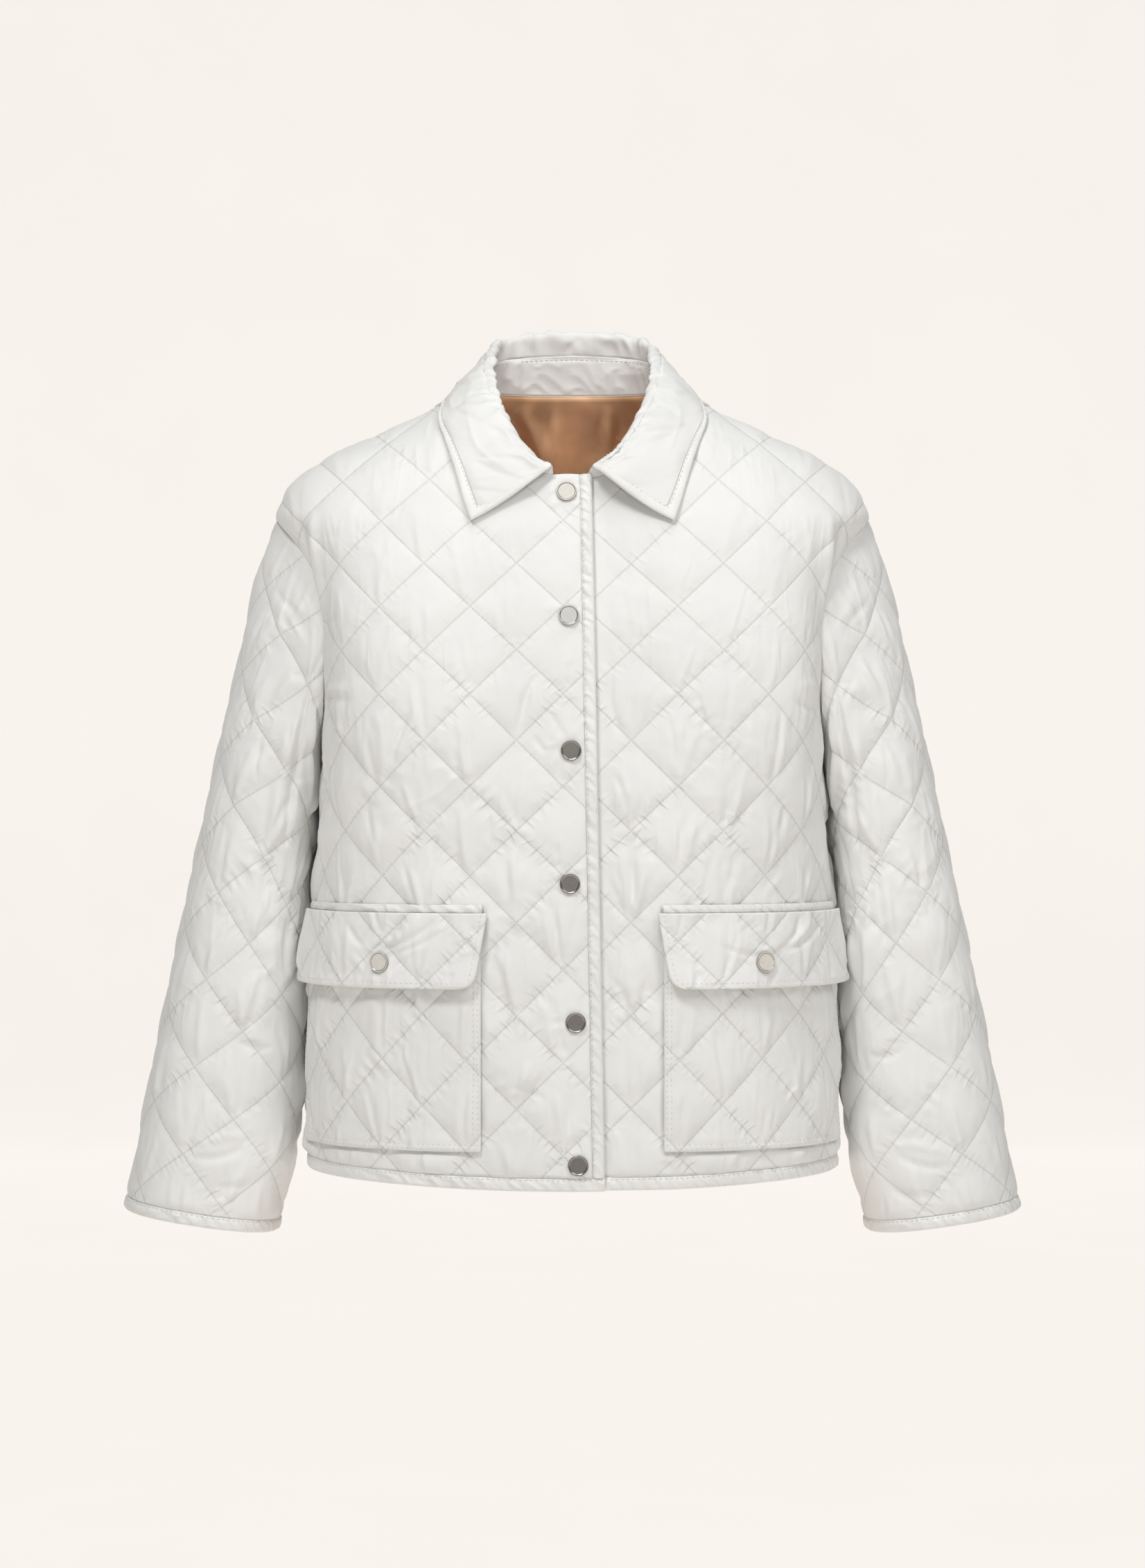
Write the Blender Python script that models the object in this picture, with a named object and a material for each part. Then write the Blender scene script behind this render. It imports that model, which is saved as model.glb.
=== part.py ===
"""Boxy diamond-quilted jacket, filled out as if worn, hollow, with no wearer.

Every piece that is cut and sewn is a closed cloth wall of its own. Units are metres, +Z is up,
the wearer faces -Y and the wearer's right side is at -X. The origin lies midway between the two
high shoulder points, where the wearer's shoulders carry the jacket.
"""
import math

import bmesh
import bpy
import numpy as np
from mathutils import Matrix, Vector

# Cloth walls and seams
SHELL = 0.0030             # quilted shell: face, wadding and lining together
COLLAR_CLOTH = 0.0022
BINDING_PROUD = 0.0004     # a folded binding stands this far out of each face of its panel
LINING_CLOTH = 0.0010
POCKET_CLOTH = 0.0024
FLAP_CLOTH = 0.0028
STRIP_CLOTH = 0.0034
SEAM_GAP = 0.0003
LIE_GAP = 0.0003           # between a panel and what lies on it

# Body: heights below the high shoulder points
HEM_Z = -0.5945            # lower edge at the side seams
BINDING = 0.0100           # width of the hem and cuff bindings
PLACKET_BINDING = 0.0090
HEM_DIP_FRONT = 0.0070     # how much lower the hem hangs at the centre
HEM_DIP_BACK = 0.0020
NECK_POINT_Z = 0.0010      # high shoulder point, where shoulder seam and collar meet
NECK_FRONT_Z = -0.0743
NECK_BACK_Z = 0.0035
FRONT_AT_ARMHOLE_TOP_Z = -0.1200
BACK_AT_ARMHOLE_TOP_Z = -0.1080

# Torso form, one row for each level: half width, depth in front of and behind the side seams,
# and the exponent that squares the section's corners
# columns: z, half_width, front_depth, back_depth, squareness
FORM = (
    (0.0080, 0.0640, 0.0460, 0.0590, 2.00),
    (0.0010, 0.0740, 0.0520, 0.0640, 2.00),
    (-0.0125, 0.1000, 0.0660, 0.0780, 2.00),
    (-0.0280, 0.1340, 0.0800, 0.0890, 2.05),
    (-0.0434, 0.1680, 0.0900, 0.0970, 2.10),
    (-0.0580, 0.1960, 0.0980, 0.1030, 2.25),
    (-0.0710, 0.2125, 0.1040, 0.1070, 2.40),
    (-0.0850, 0.2225, 0.1092, 0.1100, 2.60),
    (-0.0990, 0.2265, 0.1136, 0.1125, 2.85),
    (-0.1200, 0.2150, 0.1190, 0.1155, 3.30),
    (-0.1500, 0.1985, 0.1250, 0.1185, 3.90),
    (-0.2000, 0.1900, 0.1315, 0.1212, 4.40),
    (-0.2500, 0.1885, 0.1345, 0.1220, 4.20),
    (-0.3000, 0.1900, 0.1355, 0.1215, 3.60),
    (-0.3450, 0.1940, 0.1350, 0.1205, 3.05),
    (-0.3900, 0.1975, 0.1345, 0.1200, 2.70),
    (-0.5000, 0.2020, 0.1320, 0.1190, 2.45),
    (-0.6100, 0.2030, 0.1280, 0.1180, 2.40),
)

# Fronts: the wearer's right front laps over the left one, and its edge leans a little
RIGHT_EDGE_TOP = 0.0143    # past the centre line at the neck
RIGHT_EDGE_HEM = 0.0238
LEFT_EDGE = 0.0200         # the underlap, past the centre line the other way
UNDERLAP_DEPTH = 0.0046    # how far the left front lies behind the right one
UNDERLAP_FULL = 0.0300     # arc from the centre line to which it lies that far behind
UNDERLAP_END = 0.0800
COLLAR_END_RIGHT = 0.0143  # where each half of the collar starts, from the centre line
COLLAR_END_LEFT = 0.0092
CENTRE_COLUMN_HEM = 0.0060
# columns: arc_share, z
NECK_EDGE = ((0.0, -0.0743), (0.055, -0.0743), (0.16, -0.0605), (0.29, -0.0370), (0.57, -0.0120),
             (1.0, 0.0010))

# Patch pockets, flaps and the folded strip over each flap
POCKET_INNER = 0.0670      # arc from the centre line
POCKET_OUTER = 0.2420
POCKET_BOTTOM_Z = -0.5723
POCKET_TOP_Z = -0.4060
STRIP_TOP_Z = -0.3912
STRIP_BOTTOM_Z = -0.3972
FLAP_BOTTOM_Z = -0.4526
FLAP_INNER = 0.0616
FLAP_OUTER = 0.2400
FLAP_SLANT = 0.0090        # outward shift of the flap's lower edge
FLAP_CORNER = 0.0110
FLAP_CLEAR = 0.0036        # flap's underside above the panel, clear of the pocket
FLAP_STAND_OFF = 0.0050    # how far more the lower edge stands away
FLAP_ROWS = 4
FLAP_COLUMNS = 8

# Armhole, from the shoulder seam round the front to the armpit and back
ARMHOLE_Z = -0.1900
ARMHOLE_HALF_HEIGHT = 0.0910
ARMHOLE_FRONT = 0.0800
ARMHOLE_BACK = 0.0850

# Sleeve sections: outermost and innermost points, half depth and centre of each ring
# columns: outer_x, outer_z, inner_x, inner_z, half_depth, centre_y, squareness
SLEEVE = (
    (0.2265, -0.0990, 0.1890, -0.2810, 0.0825, 0.0025, 2.00),
    (0.2390, -0.1330, 0.1930, -0.3000, 0.0800, 0.0040, 2.10),
    (0.2487, -0.1700, 0.1960, -0.3220, 0.0775, 0.0070, 2.25),
    (0.2580, -0.2100, 0.1978, -0.3470, 0.0750, 0.0100, 2.40),
    (0.2672, -0.2510, 0.1996, -0.3730, 0.0730, 0.0125, 2.50),
    (0.2763, -0.2920, 0.2012, -0.4000, 0.0710, 0.0145, 2.55),
    (0.2854, -0.3340, 0.2026, -0.4300, 0.0695, 0.0160, 2.60),
    (0.2955, -0.3800, 0.2040, -0.4620, 0.0680, 0.0170, 2.60),
    (0.3056, -0.4280, 0.2052, -0.4950, 0.0660, 0.0170, 2.60),
    (0.3162, -0.4790, 0.2072, -0.5290, 0.0640, 0.0160, 2.55),
    (0.3264, -0.5300, 0.2112, -0.5660, 0.0622, 0.0140, 2.45),
    (0.3352, -0.5780, 0.2182, -0.6030, 0.0605, 0.0115, 2.35),
    (0.3430, -0.6180, 0.2248, -0.6362, 0.0592, 0.0095, 2.30),
    (0.3450, -0.6278, 0.2264, -0.6460, 0.0588, 0.0092, 2.30),
)
SLEEVE_SHAPED_BY_ARMHOLE = 5   # rings over which the armhole's own shape fades out

# Collar: roll line, then where the outer edge lies on the torso form. arc_share runs along the
# neck seam, from the collar's front end to the centre back.
# columns: arc_share, x, y, z
ROLL = (
    (0.00, 0.0150, -0.1090, -0.0690),
    (0.12, 0.0285, -0.1050, -0.0600),
    (0.28, 0.0465, -0.0880, -0.0345),
    (0.42, 0.0560, -0.0580, -0.0090),
    (0.58, 0.0600, -0.0120, 0.0190),
    (0.72, 0.0595, 0.0250, 0.0365),
    (0.86, 0.0425, 0.0505, 0.0475),
    (1.00, 0.0000, 0.0590, 0.0520),
)
# columns: arc_share, angle, z
LEAF_EDGE = (
    (0.00, 32.9, -0.1104),
    (0.28, 42.5, -0.0673),
    (0.45, 54.0, -0.0400),
    (0.59, 79.0, -0.0150),
    (0.75, 121.0, -0.0195),
    (0.88, 147.0, -0.0165),
    (1.00, 180.0, -0.0160),
)
STAND_SHARE = 0.62         # of the height from neck seam to roll line
FOLD = 0.0050              # across the roll, from the stand's side to the leaf's
LEAF_LIFT = 0.0026         # leaf's underside above the body
COLLAR_BINDING = 0.0080

# Snap caps
SNAP_RADIUS = 0.0075
SNAP_HEIGHT = 0.0022
SNAP_BEVEL = 0.0005
SNAP_SIDES = 20
SNAP_LIFT = 0.0004
FRONT_SNAPS = (("snap_1", -0.0041, -0.0878), ("snap_2", -0.0020, -0.1800), ("snap_3", -0.0020, -0.2787),
               ("snap_4", -0.0010, -0.3774), ("snap_5", 0.0015, -0.4762), ("snap_6", 0.0030, -0.5808))
LIGHT_SNAPS = 2            # the top snaps have paler caps
FLAP_SNAP_X = 0.1400
FLAP_SNAP_Z = -0.4340

# Facets
ARMHOLE_STEPS = 9
SHOULDER_STEPS = 4
POCKET_STEPS = 6
BACK_HALF_STEPS = 8
LINING_ROWS = 9            # of the back's rows, counted from the neck
TINY = 1e-12
EVERY_EDGE = ("first_row", "last_row", "first_column", "last_column")

SHELL_COLOUR = "E6E3DC"
TRIM_COLOUR = "EAE7E1"
LINING_COLOUR = "A9784F"
PALE_METAL = "DAD8D4"
GREY_METAL = "A3A09B"


def curve_slopes(xs, ys):
    """Slopes of a monotone cubic through the points."""
    steps = np.diff(ys, axis=0) / np.diff(xs)[:, None]
    inner = np.where(steps[:-1] * steps[1:] > 0, 2 / (1 / (steps[:-1] + TINY) + 1 / (steps[1:] + TINY)), 0)
    return np.vstack([steps[:1], inner, steps[-1:]])


def smooth_columns(table, at):
    """The table's other columns at values of its first one, on smooth curves."""
    rows = np.array(sorted(table), dtype=float)
    xs = rows[:, 0]
    ys = rows[:, 1:]
    slopes = curve_slopes(xs, ys)
    at = np.clip(np.atleast_1d(np.asarray(at, dtype=float)), xs[0], xs[-1])
    low = np.clip(np.searchsorted(xs, at) - 1, 0, len(xs) - 2)
    width = xs[low + 1] - xs[low]
    share = ((at - xs[low]) / width)[:, None]
    width = width[:, None]
    start = ys[low] * (1 + 2 * share) * (1 - share) ** 2 + slopes[low] * width * share * (1 - share) ** 2
    end = ys[low + 1] * share ** 2 * (3 - 2 * share) + slopes[low + 1] * width * share ** 2 * (share - 1)
    return start + end


def torso(angle, z):
    """Points of the torso form: angle 0 is the centre front, a quarter turn the side seam."""
    angle, z = np.broadcast_arrays(np.asarray(angle, dtype=float), np.asarray(z, dtype=float))
    half_width, front, back, squareness = smooth_columns(FORM, z.ravel()).T.reshape(4, *z.shape)
    across = np.abs(np.sin(angle)) / half_width
    along = np.abs(np.cos(angle)) / np.where(np.cos(angle) > 0, front, back)
    radius = (across ** squareness + along ** squareness) ** (-1 / squareness)
    return np.stack([radius * np.sin(angle), -radius * np.cos(angle), z], axis=-1)


def torso_normal(angle, z, step=1e-4):
    """Outward unit normals of the torso form."""
    around = torso(angle + step, z) - torso(angle - step, z)
    up = torso(angle, z + step) - torso(angle, z - step)
    normal = np.cross(around, up)
    return normal / np.linalg.norm(normal, axis=-1, keepdims=True)


class Section:
    """Arc lengths along one half section of the torso form, front or back, at one level."""

    def __init__(self, z, back=False):
        turn = np.linspace(0, math.pi / 2, 361)
        self.angles = math.pi - turn if back else turn
        points = torso(self.angles, np.full(turn.shape, z))
        lengths = np.linalg.norm(np.diff(points, axis=0), axis=1)
        self.arcs = np.concatenate([[0], np.cumsum(lengths)])
        self.total = self.arcs[-1]
        self.mirror = 2 * math.pi if back else 0

    def angle(self, share):
        """Angle at a share of the half section; below 0 it lies past the centre line."""
        found = np.interp(abs(share) * self.total, self.arcs, self.angles)
        return self.mirror - found if share < 0 else found

    def share(self, angle):
        order = np.argsort(self.angles)
        return np.interp(angle, self.angles[order], self.arcs[order]) / self.total


def armhole_point(turn):
    """Armhole seam on the torso form: angle and height; turn 0 is the shoulder seam, pi the armpit."""
    z = ARMHOLE_Z + ARMHOLE_HALF_HEIGHT * math.cos(turn)
    half_width, front, back, squareness = smooth_columns(FORM, z)[0]
    y = -math.sin(turn) * (ARMHOLE_FRONT if math.sin(turn) > 0 else ARMHOLE_BACK)
    depth = front if y <= 0 else back
    x = half_width * (1 - min(abs(y) / depth, 1) ** squareness) ** (1 / squareness)
    return math.atan2(x, -y), z


def level_rows(back):
    """Rows of a body panel: for each the centre height, the outer height and the outer share."""
    heights = [HEM_Z, HEM_Z + BINDING, POCKET_BOTTOM_Z, -0.5320, -0.4920, FLAP_BOTTOM_Z, -0.4290,
               POCKET_TOP_Z, STRIP_BOTTOM_Z, STRIP_TOP_Z, -0.3500, -0.3130]
    rows = [(z, z, 1.0) for z in heights]
    top = BACK_AT_ARMHOLE_TOP_Z if back else FRONT_AT_ARMHOLE_TOP_Z
    armpit = ARMHOLE_Z - ARMHOLE_HALF_HEIGHT
    for step in range(ARMHOLE_STEPS + 1):
        turn = math.pi * (1 - step / ARMHOLE_STEPS)
        angle, z = armhole_point(-turn if back else turn)
        centre = armpit + (z - armpit) * (top - armpit) / (2 * ARMHOLE_HALF_HEIGHT)
        rows.append((centre, z, 1.0 if step in (0, ARMHOLE_STEPS) else float(Section(z, back).share(angle))))
    return rows


def shoulder_shares():
    """How far each row above the armhole has risen, for even steps along the shoulder seam."""
    heights = np.linspace(ARMHOLE_Z + ARMHOLE_HALF_HEIGHT, NECK_POINT_Z, 60)
    widths = smooth_columns(FORM, heights)[:, 0]
    wanted = np.linspace(widths[0], widths[-1], SHOULDER_STEPS + 1)[1:]
    found = np.interp(-wanted, -widths, heights)
    return (found - heights[0]) / (heights[-1] - heights[0])


def blend_to_neck(rows, neck_row):
    """Rows from the one at the shoulder tip up to the neck edge."""
    tip = rows[-1]
    return rows + [[((1 - share) * a[0] + share * b[0], (1 - share) * a[1] + share * b[1])
                    for a, b in zip(tip, neck_row)] for share in shoulder_shares()]


def neck_height(share):
    return float(smooth_columns(NECK_EDGE, share)[0, 0])


def front_shares(right):
    """Shares and heights of a front's grid, row by row from the hem, column by column from its edge."""
    pocket_arcs = np.linspace(POCKET_INNER, POCKET_OUTER, POCKET_STEPS + 1)
    rows = []
    for centre_z, outer_z, outer_share in level_rows(back=False):
        total = Section(centre_z).total
        rise = (centre_z - HEM_Z) / (NECK_FRONT_Z - HEM_Z)
        if right:
            edge = -(RIGHT_EDGE_HEM + (RIGHT_EDGE_TOP - RIGHT_EDGE_HEM) * rise)
            centre = CENTRE_COLUMN_HEM + (COLLAR_END_RIGHT - CENTRE_COLUMN_HEM) * rise
            arcs = [edge, edge + PLACKET_BINDING, centre]
        else:
            arcs = [-LEFT_EDGE, COLLAR_END_LEFT]
        arcs.append((arcs[-1] + POCKET_INNER) / 2)
        shares = [arc / total for arc in arcs]
        side = Section(outer_z).total
        reach = (pocket_arcs - POCKET_INNER) / (side - POCKET_INNER)
        inner = POCKET_INNER / total
        shares += [inner + (outer_share - inner) * part for part in reach]
        shares.append(outer_share)
        drop = HEM_DIP_FRONT if centre_z < POCKET_BOTTOM_Z - BINDING / 2 else 0
        rows.append([(share, centre_z + (outer_z - centre_z) * max(share / outer_share, 0) ** 1.5
                      - drop * math.cos(min(abs(share), 1) * math.pi / 2) ** 2) for share in shares])
    top = Section(NECK_FRONT_Z).total
    if right:
        start = [-RIGHT_EDGE_TOP / top, (PLACKET_BINDING - RIGHT_EDGE_TOP) / top, COLLAR_END_RIGHT / top]
    else:
        start = [-LEFT_EDGE / top, COLLAR_END_LEFT / top]
    spread = list(np.linspace(start[-1] ** 0.62, 1, len(rows[0]) - len(start) + 1)[1:] ** (1 / 0.62))
    neck = [(share, neck_height(abs(share))) for share in start + spread]
    return blend_to_neck(rows, neck)


def back_shares():
    """The same for half of the back, from the centre back to the side."""
    parts = np.linspace(0, 1, BACK_HALF_STEPS + 1)
    rows = []
    for centre_z, outer_z, outer_share in level_rows(back=True):
        drop = HEM_DIP_BACK if centre_z < POCKET_BOTTOM_Z - BINDING / 2 else 0
        rows.append([(outer_share * part, centre_z + (outer_z - centre_z) * part ** 1.5
                      - drop * math.cos(part * math.pi / 2) ** 2) for part in parts])
    neck = [(part, NECK_BACK_Z + (NECK_POINT_Z - NECK_BACK_Z) * part ** 2) for part in parts]
    return blend_to_neck(rows, neck)


def place(shares, back=False):
    """Grid of shares and heights onto the torso form."""
    return np.array([[torso(Section(z, back).angle(share), z) for share, z in row] for row in shares])


def grid_normals(points, outward):
    """Unit normals of a grid of points, turned to the side of outward."""
    along = np.gradient(points, axis=1)
    up = np.gradient(points, axis=0)
    normal = np.cross(along, up)
    normal /= np.linalg.norm(normal, axis=-1, keepdims=True) + 1e-12
    turned = np.sign(np.sum(normal * outward, axis=-1, keepdims=True))
    return normal * np.where(turned == 0, 1, turned)


def unit(vectors):
    return vectors / (np.linalg.norm(vectors, axis=-1, keepdims=True) + 1e-12)


def mirrored(points):
    return points * np.array([-1.0, 1.0, 1.0])


def tuck_underlap(points, normals, shares):
    """The left front lies behind the right one round the centre line."""
    arcs = np.array([[share * Section(z).total for share, z in row] for row in shares])
    fade = np.clip((UNDERLAP_END - arcs) / (UNDERLAP_END - UNDERLAP_FULL), 0, 1)
    depth = UNDERLAP_DEPTH * fade ** 2 * (3 - 2 * fade)
    return points - normals * depth[..., None]


def sleeve_points():
    """Rings of the left sleeve, from the armhole to the cuff, each from the shoulder round the front."""
    turns = np.linspace(0, 2 * math.pi, 2 * ARMHOLE_STEPS, endpoint=False)
    rings = []
    signed = [turn if turn <= math.pi else turn - 2 * math.pi for turn in turns]
    seam = np.array([torso(*armhole_point(turn)) for turn in signed])
    for row in SLEEVE:
        outer_x, outer_z, inner_x, inner_z, half_depth, centre_y, squareness = row
        bulk = np.abs(np.cos(turns)) ** squareness + np.abs(np.sin(turns)) ** squareness
        size = bulk ** (-1 / squareness)
        along = size * np.cos(turns)
        x = (outer_x + inner_x) / 2 + (outer_x - inner_x) / 2 * along
        z = (outer_z + inner_z) / 2 + (outer_z - inner_z) / 2 * along
        y = centre_y - half_depth * size * np.sin(turns)
        rings.append(np.stack([x, y, z], axis=-1))
    deviation = seam - rings[0]
    for index in range(SLEEVE_SHAPED_BY_ARMHOLE):
        share = 1 - index / SLEEVE_SHAPED_BY_ARMHOLE
        rings[index] = rings[index] + deviation * share ** 2 * (3 - 2 * share)
    return np.array(rings)


def ring_normals(rings):
    """Outward normals of closed rings."""
    along = np.roll(rings, -1, axis=1) - np.roll(rings, 1, axis=1)
    down = np.gradient(rings, axis=0)
    normal = unit(np.cross(along, down))
    centres = rings.mean(axis=1, keepdims=True)
    turned = np.sign(np.sum(normal * (rings - centres), axis=-1, keepdims=True))
    return normal * turned


def linear(hex_colour):
    """An sRGB hex colour as linear values."""
    channels = [int(hex_colour[i:i + 2], 16) / 255 for i in (0, 2, 4)]
    return [c / 12.92 if c <= 0.04045 else ((c + 0.055) / 1.055) ** 2.4 for c in channels] + [1.0]


def material(name, colour, roughness, metallic=0.0):
    made = bpy.data.materials.new(name)
    made.use_nodes = True
    shader = made.node_tree.nodes["Principled BSDF"]
    shader.inputs["Base Color"].default_value = linear(colour)
    shader.inputs["Roughness"].default_value = roughness
    shader.inputs["Metallic"].default_value = metallic
    return made


def drawn_back(points, edges):
    """Pull the named edges of a grid in by half a seam gap, along the cloth."""
    half = SEAM_GAP * 0.6
    points = points.copy()
    if "first_row" in edges:
        points[0] += unit(points[1] - points[0]) * half
    if "last_row" in edges:
        points[-1] += unit(points[-2] - points[-1]) * half
    if "first_column" in edges:
        points[:, 0] += unit(points[:, 1] - points[:, 0]) * half
    if "last_column" in edges:
        points[:, -1] += unit(points[:, -2] - points[:, -1]) * half
    return points


def wall(name, outer, inner, look, closed=False):
    """A cloth wall between two grids of points, as one closed body."""
    rows, columns = outer.shape[:2]
    mesh = bmesh.new()
    faces = [[[mesh.verts.new(point) for point in row] for row in grid] for grid in (outer, inner)]
    spans = columns if closed else columns - 1
    for side in faces:
        for row in range(rows - 1):
            for column in range(spans):
                after = (column + 1) % columns
                mesh.faces.new((side[row][column], side[row][after],
                                side[row + 1][after], side[row + 1][column]))
    first, second = faces
    for row in (0, rows - 1):
        for column in range(spans):
            after = (column + 1) % columns
            mesh.faces.new((first[row][column], first[row][after], second[row][after], second[row][column]))
    if not closed:
        for column in (0, columns - 1):
            for row in range(rows - 1):
                mesh.faces.new((first[row][column], first[row + 1][column],
                                second[row + 1][column], second[row][column]))
    bmesh.ops.recalc_face_normals(mesh, faces=mesh.faces)
    data = bpy.data.meshes.new(name)
    mesh.to_mesh(data)
    mesh.free()
    data.shade_smooth()
    data.set_sharp_from_angle(angle=math.radians(50))
    data.materials.append(look)
    made = bpy.data.objects.new(name, data)
    bpy.context.scene.collection.objects.link(made)
    return made


def panel(name, points, normals, look, edges=(), thickness=SHELL, proud=0.0, closed=False):
    """A wall of a panel: its outer face on the points, its thickness inwards."""
    drawn = drawn_back(points, edges)
    return wall(name, drawn + normals * proud, drawn - normals * (thickness + proud), look, closed)


def part_of(points, normals, rows, columns):
    return points[rows, columns], normals[rows, columns]


def nearest_on(points, normals, x, z):
    """Point and normal of a faceted grid where it passes x and z."""
    best = None
    for row in range(points.shape[0] - 1):
        for column in range(points.shape[1] - 1):
            corners = points[row:row + 2, column:column + 2]
            for up in np.linspace(0, 1, 9):
                for along in np.linspace(0, 1, 9):
                    weights = np.outer([1 - up, up], [1 - along, along])
                    found = np.tensordot(weights, corners, axes=([0, 1], [0, 1]))
                    miss = (found[0] - x) ** 2 + (found[2] - z) ** 2
                    if best is None or miss < best[0]:
                        edge_a = corners[0, 1] - corners[0, 0]
                        edge_b = corners[1, 0] - corners[0, 0]
                        normal = unit(np.cross(edge_a, edge_b))
                        if np.dot(normal, normals[row, column]) < 0:
                            normal = -normal
                        best = (miss, found, normal)
    return best[1], best[2]


def snap_cap(name, point, normal, look):
    """A round press-stud cap standing on the cloth."""
    mesh = bmesh.new()
    bmesh.ops.create_cone(mesh, cap_ends=True, segments=SNAP_SIDES, radius1=SNAP_RADIUS,
                          radius2=SNAP_RADIUS * 0.97, depth=SNAP_HEIGHT)
    data = bpy.data.meshes.new(name)
    mesh.to_mesh(data)
    mesh.free()
    data.shade_smooth()
    data.set_sharp_from_angle(angle=math.radians(40))
    data.materials.append(look)
    made = bpy.data.objects.new(name, data)
    up = Vector(normal)
    centre = Vector(point) + up * (SNAP_LIFT + SNAP_HEIGHT / 2)
    made.matrix_world = Matrix.Translation(centre) @ up.to_track_quat("Z", "Y").to_matrix().to_4x4()
    bevel = made.modifiers.new("rim", "BEVEL")
    bevel.width = SNAP_BEVEL
    bevel.segments = 2
    bevel.limit_method = "ANGLE"
    bpy.context.scene.collection.objects.link(made)
    return made


class Body:
    """The grids of the fronts and the back, with shared normals along their seams."""

    def __init__(self):
        right_shares = front_shares(right=True)
        left_shares = front_shares(right=False)
        half_back = back_shares()
        right = mirrored(place(right_shares))
        left = place(left_shares)
        back_half = place(half_back, back=True)
        back = np.concatenate([mirrored(back_half[:, :0:-1]), back_half], axis=1)
        self.right = right
        self.right_normals = grid_normals(right, right * [1, 1, 0.0] + [0, 0, 0.05])
        left_normals = grid_normals(left, left * [1, 1, 0.0] + [0, 0, 0.05])
        self.back = back
        self.back_normals = grid_normals(back, back * [1, 1, 0.0] + [0, 0, 0.05])
        self.right_normals[:, -1] = unit(self.right_normals[:, -1] + self.back_normals[:, 0])
        left_normals[:, -1] = unit(left_normals[:, -1] + self.back_normals[:, -1])
        self.back_normals[:, 0] = self.right_normals[:, -1]
        self.back_normals[:, -1] = left_normals[:, -1]
        self.left = tuck_underlap(left, left_normals, left_shares)
        self.left_normals = left_normals
        self.armpit_row = len(level_rows(False)) - ARMHOLE_STEPS - 1

    def share_armhole(self, rings, sleeve_normals, right):
        """Give panels and sleeve one normal at each point of the armhole seam, and part them there."""
        low = self.armpit_row
        front = (self.right, self.right_normals) if right else (self.left, self.left_normals)
        back_column, next_column = (0, 1) if right else (-1, -2)
        for step in range(ARMHOLE_STEPS + 1):
            row = low + ARMHOLE_STEPS - step
            meets = ((step, *front, -1, -2), (-step, self.back, self.back_normals, back_column, next_column))
            if step in (0, ARMHOLE_STEPS):
                meets = meets[:1]
            for index, points, normals, column, inner in meets:
                shared = unit(normals[row, column] + sleeve_normals[0, index])
                into_sleeve = unit(rings[1, index] - rings[0, index])
                if step == ARMHOLE_STEPS:
                    into_panel = unit(points[row - 1, column] - points[row, column])
                else:
                    into_panel = unit(points[row, inner] - points[row, column])
                apart = unit(into_sleeve - into_panel)
                apart = unit(apart - shared * np.sum(apart * shared)) * SEAM_GAP * 0.6
                sleeve_normals[0, index] = shared
                normals[row, column] = shared
                rings[0, index] += apart
                points[row, column] -= apart
            if step in (0, ARMHOLE_STEPS):
                self.back[row, back_column] = front[0][row, -1]
                self.back_normals[row, back_column] = front[1][row, -1]


def collar_sections(body):
    """Stations of the collar along the neck seam: seam point, seam normal and share of the half."""
    right = [(body.right[-1, c], body.right_normals[-1, c]) for c in range(2, body.right.shape[1])]
    back = [(body.back[-1, c], body.back_normals[-1, c]) for c in range(1, body.back.shape[1] - 1)]
    left = [(body.left[-1, c], body.left_normals[-1, c]) for c in range(body.left.shape[1] - 1, 0, -1)]
    stations = right + back + left
    seam = np.array([point for point, _ in stations])
    normals = np.array([normal for _, normal in stations])
    arcs = np.concatenate([[0], np.cumsum(np.linalg.norm(np.diff(seam, axis=0), axis=1))])
    middle = len(right) + (len(back) - 1) // 2
    shares = np.where(np.arange(len(seam)) <= middle, arcs / arcs[middle],
                      (arcs[-1] - arcs) / (arcs[-1] - arcs[middle]))
    sides = np.where(np.arange(len(seam)) <= middle, -1.0, 1.0)
    return seam, normals, shares, sides


def collar_grid(body):
    """Neck seam and the mid-surface of the fall, from the stand over the roll to its edge."""
    seam, seam_normals, shares, sides = collar_sections(body)
    roll = smooth_columns(ROLL, shares) * np.stack([sides, np.ones_like(sides), np.ones_like(sides)], axis=1)
    angle, edge_z = smooth_columns(LEAF_EDGE, shares).T
    edge_angle = np.radians(angle) * sides
    seam_angle = np.arctan2(np.abs(seam[:, 0]), -seam[:, 1]) * sides
    outward = np.stack([np.sin(seam_angle), -np.cos(seam_angle), np.zeros_like(sides)], axis=1)
    rise = roll - seam
    stand_top = seam + rise * STAND_SHARE
    fall = [stand_top, roll - rise * 0.12 + outward * 0.0003, roll + outward * FOLD / 2,
            roll - rise * 0.12 + outward * FOLD]
    binding_share = COLLAR_BINDING / np.linalg.norm(torso(edge_angle, edge_z) - roll, axis=1)
    for part in (0.30, 0.62, None, 1.0):
        reach = 1 - binding_share if part is None else np.full_like(shares, part)
        turn = seam_angle + (edge_angle - seam_angle) * reach
        height = seam[:, 2] + (edge_z - seam[:, 2]) * reach
        lift = torso_normal(turn, height) * (LEAF_LIFT * np.minimum(reach / 0.3, 1))[:, None]
        left_over = ((1 - reach) ** 1.25)[:, None]
        fall.append(torso(turn, height) + lift + (rise + outward * FOLD) * left_over)
    return seam, seam_normals, outward, stand_top, np.array(fall)


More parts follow.
